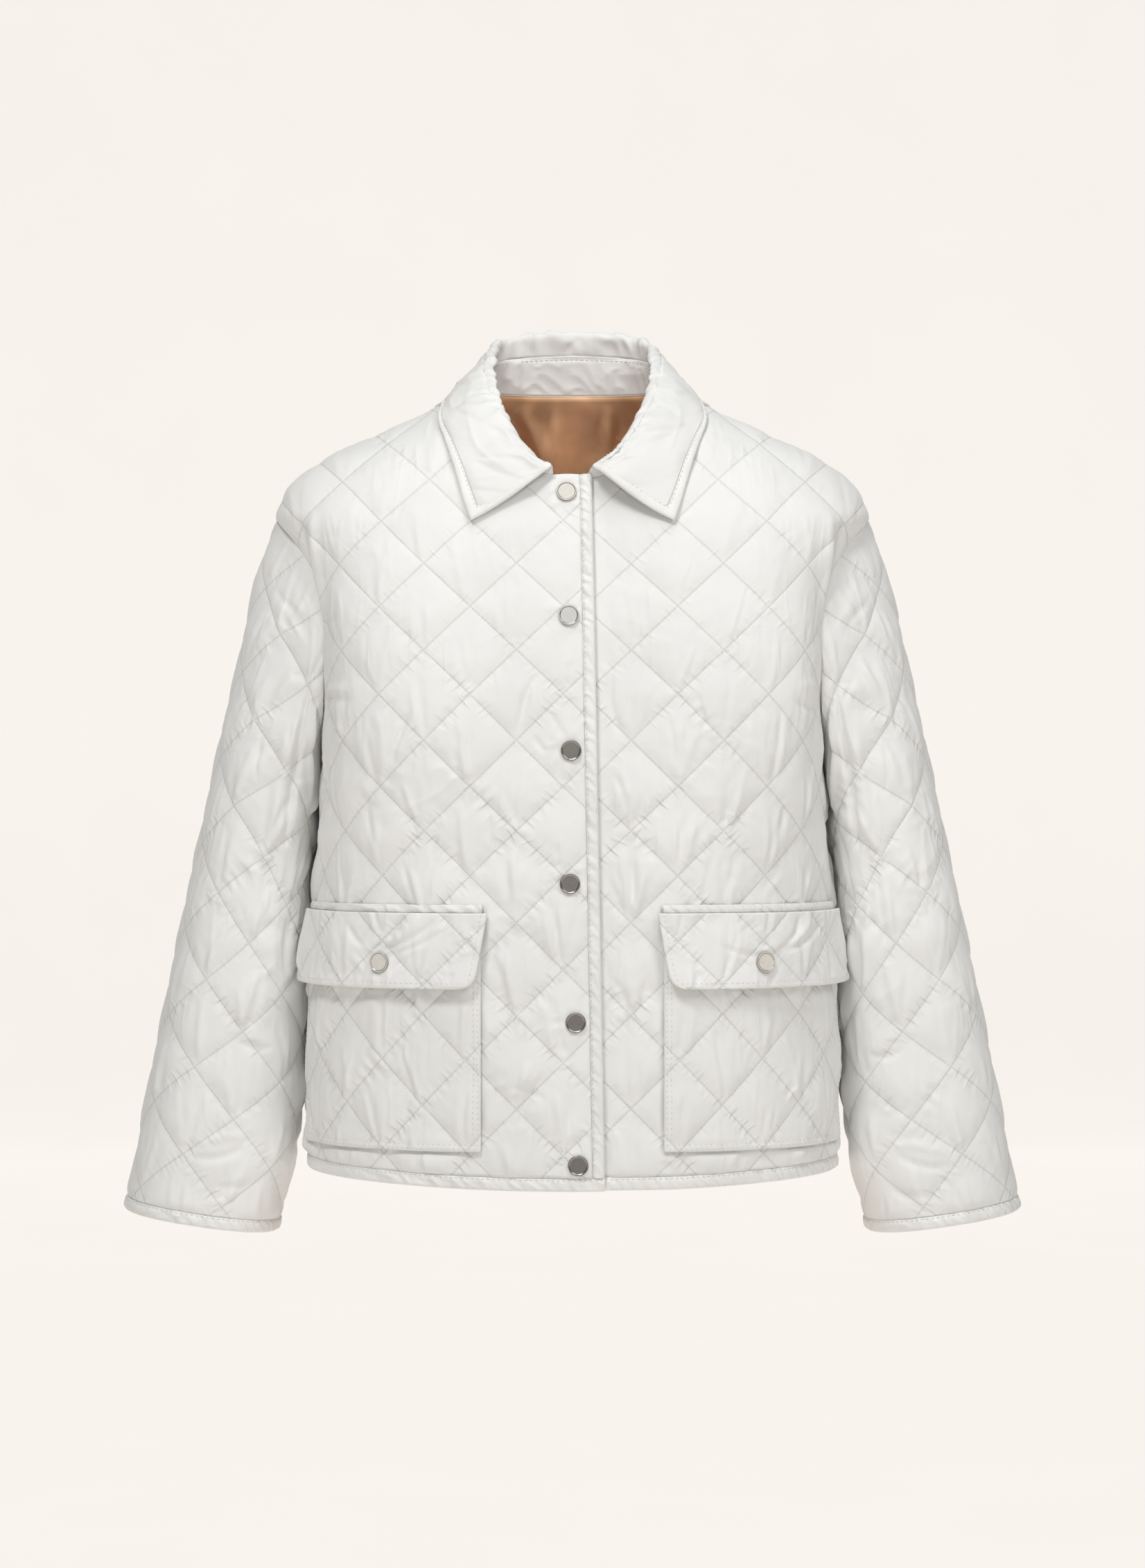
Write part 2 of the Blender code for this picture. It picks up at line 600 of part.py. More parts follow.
def with_end_columns(grid, width):
    """Add a column near each end of the fall, as far from it as its binding is wide."""
    def near(end, after):
        return end + (after - end) * width / max(np.linalg.norm(after[-1] - end[-1]), TINY)
    first = near(grid[:, 0], grid[:, 1])
    last = near(grid[:, -1], grid[:, -2])
    return np.concatenate([grid[:, :1], first[:, None], grid[:, 1:-1], last[:, None], grid[:, -1:]], axis=1)


def build_collar(body, looks):
    """Stand, fall and the binding round the fall's edge."""
    seam, seam_normals, outward, stand_top, fall = collar_grid(body)
    up = unit(stand_top - seam)
    foot = seam + up * SEAM_GAP
    head = stand_top - up * SEAM_GAP / 2
    outer = np.array([foot, (foot + head) / 2, head])
    inward = np.array([seam_normals, unit(seam_normals + outward), outward])
    wall("collar_stand", outer, outer - inward * COLLAR_CLOTH, looks["shell"])
    fall[0] += up * SEAM_GAP - outward * COLLAR_CLOTH / 2
    fall[1] -= outward * COLLAR_CLOTH / 2
    fall = with_end_columns(fall, COLLAR_BINDING)
    normals = unit(np.cross(np.gradient(fall, axis=1), np.gradient(fall, axis=0)))
    foot_normals = with_end_columns(np.array([outward, outward]), 0.0)[0]
    normals[0] = foot_normals * np.sign(np.sum(foot_normals * normals[0], axis=-1, keepdims=True))
    leaf = drawn_back(fall[:-1, 1:-1], EVERY_EDGE[1:])
    leaf_normals = normals[:-1, 1:-1]
    half = COLLAR_CLOTH / 2
    wall("collar_fall", leaf + leaf_normals * half, leaf - leaf_normals * half, looks["shell"])
    inner = np.concatenate([fall[:-1, 1], fall[-2, 2:-2], fall[-2::-1, -2]])
    rim = np.concatenate([fall[:-2, 0], fall[-1, :1], fall[-1, 2:-2], fall[-1, -1:], fall[-3::-1, -1]])
    inner_normals = np.concatenate([normals[:-1, 1], normals[-2, 2:-2], normals[-2::-1, -2]])
    rim_normals = np.concatenate([normals[:-2, 0], normals[-1, :1], normals[-1, 2:-2], normals[-1, -1:],
                                  normals[-3::-1, -1]])
    strip = drawn_back(np.array([inner, rim]), EVERY_EDGE[:1])
    strip_normals = np.array([inner_normals, rim_normals])
    half += BINDING_PROUD / 2
    wall("collar_binding", strip + strip_normals * half, strip - strip_normals * half, looks["trim"])


def build_panels(body, looks):
    """Fronts and back, above the hem binding and inside the placket binding."""
    above_hem = slice(1, None)
    panel("front_right", body.right[above_hem, 1:], body.right_normals[above_hem, 1:], looks["shell"],
          EVERY_EDGE)
    panel("front_left", body.left[above_hem], body.left_normals[above_hem], looks["shell"], EVERY_EDGE)
    panel("back", body.back[above_hem], body.back_normals[above_hem], looks["shell"], EVERY_EDGE)
    panel("placket_binding", body.right[above_hem, :2], body.right_normals[above_hem, :2], looks["trim"],
          EVERY_EDGE, proud=BINDING_PROUD)
    hem = np.concatenate([body.right[:2], body.back[:2, 1:-1], body.left[:2, ::-1]], axis=1)
    hem_normals = np.concatenate([body.right_normals[:2], body.back_normals[:2, 1:-1],
                                  body.left_normals[:2, ::-1]], axis=1)
    panel("hem_binding", hem, hem_normals, looks["trim"], ("last_row",), proud=BINDING_PROUD)
    neck = body.back[-LINING_ROWS:, 1:-1]
    neck_normals = body.back_normals[-LINING_ROWS:, 1:-1]
    inside = neck - neck_normals * (SHELL + LIE_GAP)
    inside[-1] += unit(inside[-2] - inside[-1]) * SHELL
    panel("back_lining", inside, neck_normals, looks["lining"], thickness=LINING_CLOTH)


def build_sleeves(body, looks):
    """Both sleeves and their cuff bindings."""
    rings = sleeve_points()
    normals = ring_normals(rings)
    for side, right in (("right", True), ("left", False)):
        points = mirrored(rings) if right else rings.copy()
        outward = mirrored(normals) if right else normals.copy()
        body.share_armhole(points, outward, right)
        panel("sleeve_" + side, points[:-1], outward[:-1], looks["shell"], EVERY_EDGE[:2], closed=True)
        panel("cuff_binding_" + side, points[-2:], outward[-2:], looks["trim"], ("first_row",),
              proud=BINDING_PROUD, closed=True)


def flap_grid(flip):
    """The flap's inner face: a plain grid over the pocket that slants outwards and stands away."""
    grid = []
    for down in np.linspace(0, 1, FLAP_ROWS + 1):
        z = STRIP_BOTTOM_Z + (FLAP_BOTTOM_Z - STRIP_BOTTOM_Z) * down
        section = Section(z)
        round_off = FLAP_CORNER * max(0, (down * FLAP_ROWS - FLAP_ROWS + 1)) ** 3
        shift = FLAP_SLANT * down
        row = []
        for along in np.linspace(0, 1, FLAP_COLUMNS + 1):
            arc = FLAP_INNER + shift + round_off + (FLAP_OUTER - FLAP_INNER - 2 * round_off) * along
            angle = section.angle(arc / section.total)
            lift = FLAP_CLEAR + FLAP_STAND_OFF * down ** 1.3
            row.append(torso(angle, z) + torso_normal(angle, z) * lift)
        grid.append(row)
    grid = np.array(grid)[::-1]
    return mirrored(grid) if flip else grid


def build_pockets(body, looks):
    """Patch pockets, their flaps and the folded strip along each flap's top."""
    heights = [row[0] for row in level_rows(False)]
    bottom = heights.index(POCKET_BOTTOM_Z)
    top = heights.index(POCKET_TOP_Z)
    strip = heights.index(STRIP_BOTTOM_Z)
    sides = (("right", body.right, body.right_normals, 4, True),
             ("left", body.left, body.left_normals, 3, False))
    for side, points, normals, first, flip in sides:
        span = slice(first, first + POCKET_STEPS + 1)
        base, up = part_of(points, normals, slice(bottom, top + 1), span)
        raised = base + up * (LIE_GAP + POCKET_CLOTH)
        panel("pocket_" + side, raised, up, looks["shell"], thickness=POCKET_CLOTH)
        base, up = part_of(points, normals, slice(strip, strip + 2), span)
        raised = base + up * (LIE_GAP + STRIP_CLOTH)
        panel("flap_strip_" + side, raised, up, looks["trim"], EVERY_EDGE[:1], thickness=STRIP_CLOTH)
        under = flap_grid(flip)
        out = grid_normals(under, under * [1, 1, 0.0])
        under[-1] -= np.array([0, 0, SEAM_GAP])
        flap = under + out * FLAP_CLOTH
        panel("flap_" + side, flap, out, looks["shell"], thickness=FLAP_CLOTH)
        x = -FLAP_SNAP_X if flip else FLAP_SNAP_X
        point, normal = nearest_on(flap, out, x, FLAP_SNAP_Z)
        snap_cap("flap_snap_" + side, point, normal, looks["pale"])


def main():
    for old in list(bpy.data.objects):
        bpy.data.objects.remove(old, do_unlink=True)
    looks = {
        "shell": material("quilted_shell", SHELL_COLOUR, 0.62),
        "trim": material("plain_trim", TRIM_COLOUR, 0.60),
        "lining": material("satin_lining", LINING_COLOUR, 0.38),
        "pale": material("pale_snap", PALE_METAL, 0.34, 1.0),
        "grey": material("grey_snap", GREY_METAL, 0.40, 1.0),
    }
    body = Body()
    build_sleeves(body, looks)
    build_panels(body, looks)
    build_collar(body, looks)
    build_pockets(body, looks)
    for index, (name, x, z) in enumerate(FRONT_SNAPS):
        point, normal = nearest_on(body.right, body.right_normals, x, z)
        snap_cap(name, point, normal, looks["pale" if index < LIGHT_SNAPS else "grey"])


main()
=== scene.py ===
"""Looks of a boxy diamond-quilted jacket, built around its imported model."""
import math

import bpy
import numpy as np
from bpy.props import FloatProperty, FloatVectorProperty, PointerProperty
from mathutils import Matrix, Vector


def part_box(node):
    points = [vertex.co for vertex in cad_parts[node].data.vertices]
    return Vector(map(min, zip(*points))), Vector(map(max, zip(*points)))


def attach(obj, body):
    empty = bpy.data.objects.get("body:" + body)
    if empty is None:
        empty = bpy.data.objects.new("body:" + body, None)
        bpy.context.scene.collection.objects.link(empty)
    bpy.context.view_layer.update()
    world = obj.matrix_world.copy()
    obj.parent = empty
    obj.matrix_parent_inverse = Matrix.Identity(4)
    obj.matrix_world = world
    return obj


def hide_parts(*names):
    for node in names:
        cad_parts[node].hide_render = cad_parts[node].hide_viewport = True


bl_info = {
    "name": "Quilted jacket",
    "version": (1, 0, 0),
    "blender": (4, 5, 0),
    "location": "View3D > Sidebar > Jacket",
    "description": "Cloth, trims, snaps and stage of a diamond-quilted jacket",
    "category": "Object",
}

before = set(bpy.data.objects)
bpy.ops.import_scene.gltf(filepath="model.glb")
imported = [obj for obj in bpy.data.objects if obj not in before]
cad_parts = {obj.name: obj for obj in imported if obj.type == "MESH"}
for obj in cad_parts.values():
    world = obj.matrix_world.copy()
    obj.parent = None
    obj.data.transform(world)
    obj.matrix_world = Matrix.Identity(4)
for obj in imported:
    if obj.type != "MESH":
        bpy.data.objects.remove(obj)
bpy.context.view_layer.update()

# ---------------------------------------------------------------- form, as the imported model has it
SHELL = 0.0030             # quilted shell: face, wadding and lining together
COLLAR_CLOTH = 0.0022
LINING_CLOTH = 0.0010
POCKET_CLOTH = 0.0024
FLAP_CLOTH = 0.0028
STRIP_CLOTH = 0.0034
LIE_GAP = 0.0003           # between a panel and what lies on it

HEM_Z = -0.5945            # lower edge at the side seams
BINDING = 0.0100           # width of the hem and cuff bindings
PLACKET_BINDING = 0.0090
HEM_DIP_FRONT = 0.0070     # how much lower the hem hangs at the centre
HEM_DIP_BACK = 0.0020
NECK_POINT_Z = 0.0010      # high shoulder point
NECK_FRONT_Z = -0.0743
NECK_BACK_Z = 0.0035
FRONT_AT_ARMHOLE_TOP_Z = -0.1200
BACK_AT_ARMHOLE_TOP_Z = -0.1080

# Torso form: z, half width, depth in front and behind the side seams, squareness of the section
FORM = (
    (0.0080, 0.0640, 0.0460, 0.0590, 2.00),
    (0.0010, 0.0740, 0.0520, 0.0640, 2.00),
    (-0.0125, 0.1000, 0.0660, 0.0780, 2.00),
    (-0.0280, 0.1340, 0.0800, 0.0890, 2.05),
    (-0.0434, 0.1680, 0.0900, 0.0970, 2.10),
    (-0.0580, 0.1960, 0.0980, 0.1030, 2.25),
    (-0.0710, 0.2125, 0.1040, 0.1070, 2.40),
    (-0.0850, 0.2225, 0.1092, 0.1100, 2.60),
    (-0.0990, 0.2265, 0.1136, 0.1125, 2.85),
    (-0.1200, 0.2150, 0.1190, 0.1155, 3.30),
    (-0.1500, 0.1985, 0.1250, 0.1185, 3.90),
    (-0.2000, 0.1900, 0.1315, 0.1212, 4.40),
    (-0.2500, 0.1885, 0.1345, 0.1220, 4.20),
    (-0.3000, 0.1900, 0.1355, 0.1215, 3.60),
    (-0.3450, 0.1940, 0.1350, 0.1205, 3.05),
    (-0.3900, 0.1975, 0.1345, 0.1200, 2.70),
    (-0.5000, 0.2020, 0.1320, 0.1190, 2.45),
    (-0.6100, 0.2030, 0.1280, 0.1180, 2.40),
)

RIGHT_EDGE_TOP = 0.0143    # the right front's edge past the centre line, at the neck
RIGHT_EDGE_HEM = 0.0238
LEFT_EDGE = 0.0200         # the underlap, past the centre line the other way
UNDERLAP_DEPTH = 0.0046    # how far the left front lies behind the right one
UNDERLAP_FULL = 0.0300     # arc from the centre line to which it lies that far behind
UNDERLAP_END = 0.0800
COLLAR_END_RIGHT = 0.0143  # where each half of the collar starts, from the centre line
COLLAR_END_LEFT = 0.0092
CENTRE_COLUMN_HEM = 0.0060
# Neck edge of a front: share of the way from the centre line to the shoulder seam, z
NECK_EDGE = ((0.0, -0.0743), (0.055, -0.0743), (0.16, -0.0605), (0.29, -0.0370), (0.57, -0.0120),
             (1.0, 0.0010))

POCKET_INNER = 0.0670      # arc from the centre line
POCKET_OUTER = 0.2420
POCKET_BOTTOM_Z = -0.5723
POCKET_TOP_Z = -0.4060
STRIP_TOP_Z = -0.3912
STRIP_BOTTOM_Z = -0.3972
FLAP_BOTTOM_Z = -0.4526
FLAP_INNER = 0.0616
FLAP_OUTER = 0.2400
FLAP_SLANT = 0.0090        # outward shift of the flap's lower edge
FLAP_CORNER = 0.0110
FLAP_CLEAR = 0.0036        # flap's underside above the panel, clear of the pocket
FLAP_STAND_OFF = 0.0050    # how far more the lower edge stands away
FLAP_STITCH_INSET = 0.0042
FLAP_COLUMN_STEP = 0.00146    # between the columns of the flap's grid
FLAP_ROW_STEP = 0.00139

ARMHOLE_Z = -0.1900
ARMHOLE_HALF_HEIGHT = 0.0910
ARMHOLE_FRONT = 0.0800
ARMHOLE_BACK = 0.0850

# Sleeve rings: outermost and innermost points, half depth, centre and squareness
SLEEVE = (
    (0.2265, -0.0990, 0.1890, -0.2810, 0.0825, 0.0025, 2.00),
    (0.2390, -0.1330, 0.1930, -0.3000, 0.0800, 0.0040, 2.10),
    (0.2487, -0.1700, 0.1960, -0.3220, 0.0775, 0.0070, 2.25),
    (0.2580, -0.2100, 0.1978, -0.3470, 0.0750, 0.0100, 2.40),
    (0.2672, -0.2510, 0.1996, -0.3730, 0.0730, 0.0125, 2.50),
    (0.2763, -0.2920, 0.2012, -0.4000, 0.0710, 0.0145, 2.55),
    (0.2854, -0.3340, 0.2026, -0.4300, 0.0695, 0.0160, 2.60),
    (0.2955, -0.3800, 0.2040, -0.4620, 0.0680, 0.0170, 2.60),
    (0.3056, -0.4280, 0.2052, -0.4950, 0.0660, 0.0170, 2.60),
    (0.3162, -0.4790, 0.2072, -0.5290, 0.0640, 0.0160, 2.55),
    (0.3264, -0.5300, 0.2112, -0.5660, 0.0622, 0.0140, 2.45),
    (0.3352, -0.5780, 0.2182, -0.6030, 0.0605, 0.0115, 2.35),
    (0.3430, -0.6180, 0.2248, -0.6362, 0.0592, 0.0095, 2.30),
    (0.3450, -0.6278, 0.2264, -0.6460, 0.0588, 0.0092, 2.30),
)
SLEEVE_SHAPED_BY_ARMHOLE = 5
CUFF_SEAM_RING = 12.0

# ---------------------------------------------------------------- quilting
STITCH_SPACING = 0.0483    # between neighbouring parallel stitch lines
DIAMOND = 0.0683           # across a diamond, from corner to corner
STITCH_LENGTH = 0.0032
LATTICE_Z = -0.4047        # height of one lattice corner on the centre line
LATTICE_X = {"right": 0.0410, "left": 0.0430, "back": 0.0}
SLEEVE_LATTICE_Y = 0.0890    # from the shoulder down to a lattice corner
SLEEVE_DIAMOND_LONG = 0.0665
SLEEVE_COLUMNS = (0.0780, 0.0360)    # arc of one column of corners, and the arc between columns, lower down
SLEEVE_COLUMNS_HIGH = ((-0.330, 0.045, 0.082, 0.140, 0.215, 0.330), (-11.4, -1.0, 0.0, 1.0, 2.0, 3.6))

TINY = 1e-12


def curve_slopes(xs, ys):
    """Slopes of a monotone cubic through the points."""
    steps = np.diff(ys, axis=0) / np.diff(xs)[:, None]
    inner = np.where(steps[:-1] * steps[1:] > 0, 2 / (1 / (steps[:-1] + TINY) + 1 / (steps[1:] + TINY)), 0)
    return np.vstack([steps[:1], inner, steps[-1:]])


def smooth_columns(table, at):
    """The table's other columns at values of its first one, on smooth curves."""
    rows = np.array(sorted(table), dtype=float)
    xs = rows[:, 0]
    ys = rows[:, 1:]
    slopes = curve_slopes(xs, ys)
    at = np.clip(np.atleast_1d(np.asarray(at, dtype=float)), xs[0], xs[-1])
    low = np.clip(np.searchsorted(xs, at) - 1, 0, len(xs) - 2)
    width = (xs[low + 1] - xs[low])[:, None]
    share = ((at - xs[low]) / width[:, 0])[:, None]
    start = ys[low] * (1 + 2 * share) * (1 - share) ** 2 + slopes[low] * width * share * (1 - share) ** 2
    end = ys[low + 1] * share ** 2 * (3 - 2 * share) + slopes[low + 1] * width * share ** 2 * (share - 1)
    return start + end


def unit(vectors):
    return vectors / (np.linalg.norm(vectors, axis=-1, keepdims=True) + TINY)


def ease(share):
    """0 to 1 on a smooth curve."""
    share = np.clip(share, 0, 1)
    return share * share * (3 - 2 * share)


def torso(angle, z):
    """Points of the torso form: angle 0 is the centre front, a quarter turn the side seam."""
    angle, z = np.broadcast_arrays(np.asarray(angle, dtype=float), np.asarray(z, dtype=float))
    half_width, front, back, squareness = smooth_columns(FORM, z.ravel()).T.reshape(4, *z.shape)
    across = np.abs(np.sin(angle)) / half_width
    along = np.abs(np.cos(angle)) / np.where(np.cos(angle) > 0, front, back)
    radius = (across ** squareness + along ** squareness) ** (-1 / squareness)
    return np.stack([radius * np.sin(angle), -radius * np.cos(angle), z], axis=-1)


def torso_normal(angle, z, step=1e-4):
    around = torso(angle + step, z) - torso(angle - step, z)
    up = torso(angle, z + step) - torso(angle, z - step)
    return unit(np.cross(around, up))


class HalfForm:
    """Arc lengths round one half of the torso form, front or back, at every level."""

    def __init__(self, back):
        self.back = back
        self.levels = np.linspace(-0.6140, 0.0080, 312)
        self.turns = np.linspace(0, math.pi / 2, 241)
        angles = math.pi - self.turns if back else self.turns
        points = torso(angles[None, :], self.levels[:, None])
        lengths = np.linalg.norm(np.diff(points, axis=1), axis=-1)
        arcs = np.concatenate([np.zeros((len(self.levels), 1)), np.cumsum(lengths, axis=1)], axis=1)
        self.totals = arcs[:, -1]
        self.shares = arcs / self.totals[:, None]
        even = np.linspace(0, 1, 241)
        self.turn_at_share = np.array([np.interp(even, row, self.turns) for row in self.shares])

    def look_up(self, table, across, z):
        level = np.clip((z - self.levels[0]) / (self.levels[1] - self.levels[0]), 0, len(self.levels) - 1.001)
        column = np.clip(across * 240, 0, 239.999)
        row = level.astype(int)
        low = column.astype(int)
        up = level - row
        on = column - low
        lower = table[row, low] * (1 - on) + table[row, low + 1] * on
        upper = table[row + 1, low] * (1 - on) + table[row + 1, low + 1] * on
        return lower * (1 - up) + upper * up

    def total(self, z):
        return np.interp(z, self.levels, self.totals)

    def share(self, angle, z):
        turn = math.pi - angle if self.back else angle
        return self.look_up(self.shares, turn / (math.pi / 2), z)

    def angle(self, share, z):
        """Angle at a share of the half section; below 0 it lies past the centre line."""
        turn = self.look_up(self.turn_at_share, np.abs(share), z) * np.sign(share + TINY)
        return math.pi - turn if self.back else turn


FRONT_HALF = HalfForm(back=False)
BACK_HALF = HalfForm(back=True)


def armhole_point(turn):
    """Armhole seam on the torso form: angle and height; turn 0 is the shoulder seam, pi the armpit."""
    z = ARMHOLE_Z + ARMHOLE_HALF_HEIGHT * np.cos(turn)
    half_width, front, back, squareness = smooth_columns(FORM, z).T
    y = -np.sin(turn) * np.where(np.sin(turn) > 0, ARMHOLE_FRONT, ARMHOLE_BACK)
    depth = np.where(y <= 0, front, back)
    x = half_width * (1 - np.minimum(np.abs(y) / depth, 1) ** squareness) ** (1 / squareness)
    return np.arctan2(x, -y), z


def sleeve_form(rings, turns):
    """Points of the left sleeve at ring numbers and turns; turn 0 is the shoulder, then round the front."""
    table = [(index, *row) for index, row in enumerate(SLEEVE)]
    columns = smooth_columns(table, rings).T[:, :, None]
    outer_x, outer_z, inner_x, inner_z, half_depth, centre_y, squareness = columns
    turns = turns[None, :]
    size = (np.abs(np.cos(turns)) ** squareness + np.abs(np.sin(turns)) ** squareness) ** (-1 / squareness)
    along = size * np.cos(turns)
    x = (outer_x + inner_x) / 2 + (outer_x - inner_x) / 2 * along
    z = (outer_z + inner_z) / 2 + (outer_z - inner_z) / 2 * along
    y = centre_y - half_depth * size * np.sin(turns)
    points = np.stack([x, y, z], axis=-1)
    seam = torso(*armhole_point(turns[0]))
    first = SLEEVE[0]
    round_first = np.stack([
        (first[0] + first[2]) / 2 + (first[0] - first[2]) / 2 * np.cos(turns[0]),
        first[5] - first[4] * np.sin(turns[0]),
        (first[1] + first[3]) / 2 + (first[1] - first[3]) / 2 * np.cos(turns[0]),
    ], axis=-1)
    share = ease(1 - rings / SLEEVE_SHAPED_BY_ARMHOLE)[:, None, None]
    return points + (seam - round_first)[None] * share


def turned_to(normal, outward):
    sign = np.sign(np.sum(normal * outward, axis=-1, keepdims=True))
    return normal * np.where(sign == 0, 1, sign)


def grid_normals(points, outward, closed=False):
    """Unit normals of a grid of points, turned to the side of outward."""
    if closed:
        along = np.roll(points, -1, axis=1) - np.roll(points, 1, axis=1)
    else:
        along = np.gradient(points, axis=1)
    return turned_to(unit(np.cross(along, np.gradient(points, axis=0))), outward)


def armhole_normals():
    """Turns round the armhole seam, and the direction that panel and sleeve share there."""
    turns = np.linspace(-math.pi, math.pi, 361)
    rings = sleeve_form(np.linspace(0, 0.6, 4), turns)
    sleeve_side = grid_normals(rings, rings - rings[:, :-1].mean(axis=1, keepdims=True))[0]
    panel_side = torso_normal(*armhole_point(turns))
    return turns, unit(sleeve_side + panel_side)


ARMHOLE_TURNS, ARMHOLE_SHARED = armhole_normals()


def shared_normal(turn):
    return unit(np.stack([np.interp(turn, ARMHOLE_TURNS, ARMHOLE_SHARED[:, k]) for k in range(3)], axis=-1))


def from_edge(points, axis, last):
    """Distance along the grid from its first or last row or column."""
    steps = np.linalg.norm(np.diff(points, axis=axis), axis=-1)
    pad = [(0, 0), (0, 0)]
    pad[axis] = (1, 0)
    run = np.pad(np.cumsum(steps, axis=axis), pad)
    return np.take(run, [-1], axis=axis) - run if last else run


def led_to(normals, edge, distance, reach=0.012):
    """Normals that turn to the edge's own ones as they near it."""
    weight = np.clip(1 - distance / reach, 0, 1)[..., None] ** 2
    return unit(normals * (1 - weight) + edge * weight)


# ---------------------------------------------------------------- relief: wadding, puckers, creases
def hashed(*numbers):
    """Even pseudo-random values from 0 to 1 for whole-number coordinates."""
    value = np.zeros(np.broadcast(*numbers).shape)
    for factor, number in zip((12.9898, 78.233, 37.719, 9.151), numbers):
        value = value + np.asarray(number, dtype=float) * factor
    return np.mod(np.abs(np.sin(value) * 43758.5453), 1.0)


def noise(x, y, seed=0):
    """Smooth value noise from -1 to 1 with features one unit across."""
    column = np.floor(x)
    row = np.floor(y)
    on = ease(x - column)
    up = ease(y - row)
    lower = hashed(column, row, seed) * (1 - on) + hashed(column + 1, row, seed) * on
    upper = hashed(column, row + 1, seed) * (1 - on) + hashed(column + 1, row + 1, seed) * on
    return (lower * (1 - up) + upper * up) * 2 - 1


def wrinkles(x, y, seed):
    """Thin soft ridges, as in cloth that is pulled one way: 0 to 1, mostly low."""
    return (1 - np.abs(noise(x, y, seed))) ** 3


def lattice(x, y, x0, y0, across=DIAMOND, along=DIAMOND):
    """Quilting coordinates: each stitch line is where one of them is a whole number."""
    a = (x - x0) / across
    b = (y - y0) / along
    return a + b, a - b


def quilting(u, v, seed, rise, strength=1.0):
    """Height over the stitched line: sagging swells, puckers across the stitches and drag folds."""
    column = np.floor(u)
    row = np.floor(v)
    du = np.abs(u - np.round(u)) * STITCH_SPACING
    dv = np.abs(v - np.round(v)) * STITCH_SPACING
    up = (u - column - v + row + 1) / 2           # 0 at a puff's lower corner, 1 at its upper corner
    aside = (u - column + v - row - 1) * DIAMOND / 2
    run = 0.0075
    soft = 0.0010
    swell = ((1 - np.exp(-(np.sqrt(du ** 2 + soft ** 2) - soft) / run))
             * (1 - np.exp(-(np.sqrt(dv ** 2 + soft ** 2) - soft) / run)))
    cell = 0.82 + 0.40 * hashed(column, row, seed)
    sag = 1 + 0.55 * (1 - 2 * up)
    uneven = cell + 0.25 * noise(u * 1.7, v * 1.7, seed + 3)
    height = rise * 1.15 * swell * sag * uneven * (0.45 + 0.60 * strength)
    for across, along, line, salt in ((du, v, np.round(u), 11), (dv, u, np.round(v), 23)):
        beat = STITCH_SPACING / 0.0085
        local = np.clip(0.35 + 1.3 * noise(along * 0.9, line * 3.1, seed + salt + 1), 0.0, 1.5)
        spread = across / STITCH_SPACING
        pucker = (wrinkles(along * beat, line * 5.7 + spread * 2.0, seed + salt)
                  + 0.4 * noise(along * beat * 1.9, line * 2.3 + spread * 3.0, seed + salt))
        near = np.exp(-across / 0.0062) * (0.25 + 0.75 * (1 - np.exp(-across / 0.0015)))
        height += 0.00190 * strength * local * pucker * near
    for number in range(4):
        lean, start, reach, wide, sign = (hashed(column, row, seed + 40 + 7 * number + k) for k in range(5))
        line = (lean - 0.5) * 0.042 * up + (start - 0.5) * 0.005 + 0.004 * np.sin(up * 3 + 6 * wide) * up
        width = 0.0017 + 0.0018 * wide
        reach = 0.30 + 0.45 * reach
        fade = ease((up - 0.05) / 0.10) * ease((reach + 0.16 - up) / 0.22)
        off = aside - line
        fold = np.exp(-(off / width) ** 2) - 0.55 * np.exp(-((off - 2.0 * width) / (1.3 * width)) ** 2)
        height += 0.00090 * strength * fade * fold * np.where(sign > 0.45, 1.0, -0.9) * (0.35 + lean)
    level = u + v
    upright = u - v
    height += 0.00085 * noise(u * 2.3 + 7, v * 2.1 + 3, seed + 5) * swell * strength
    turned = upright * 2.2 + 0.5 * noise(level * 0.9 + 8, upright * 0.9, seed + 15) + level * 0.8
    height += 0.00110 * strength * np.clip(noise(level * 0.7, upright * 0.7 + 5, seed + 16), 0, 1) * wrinkles(
        turned, level * 0.8, seed + 17)
    height += 0.00022 * noise(level * 6.5 + 2, upright * 5.2, seed + 6) * swell
    return height


def creases(x, y, table):
    """Soft ridges (height above 0) and troughs (below 0), each along a bowed line from end to end."""
    total = np.zeros(x.shape)
    for x0, y0, x1, y1, bow, half_width, height in table:
        dx = x1 - x0
        dy = y1 - y0
        length = math.hypot(dx, dy)
        t = ((x - x0) * dx + (y - y0) * dy) / length ** 2
        off = ((y - y0) * dx - (x - x0) * dy) / length - bow * 4 * t * (1 - t)
        fade = np.clip(1 - np.abs(2 * t - 1) ** 3, 0, 1)
        total += height * np.exp(-(off / (half_width * (0.55 + 0.45 * fade))) ** 2) * fade
    return total


def inside(x, low, high, edge):
    """1 between low and high, fading to 0 over edge within them."""
    return ease((x - low) / edge) * ease((high - x) / edge)


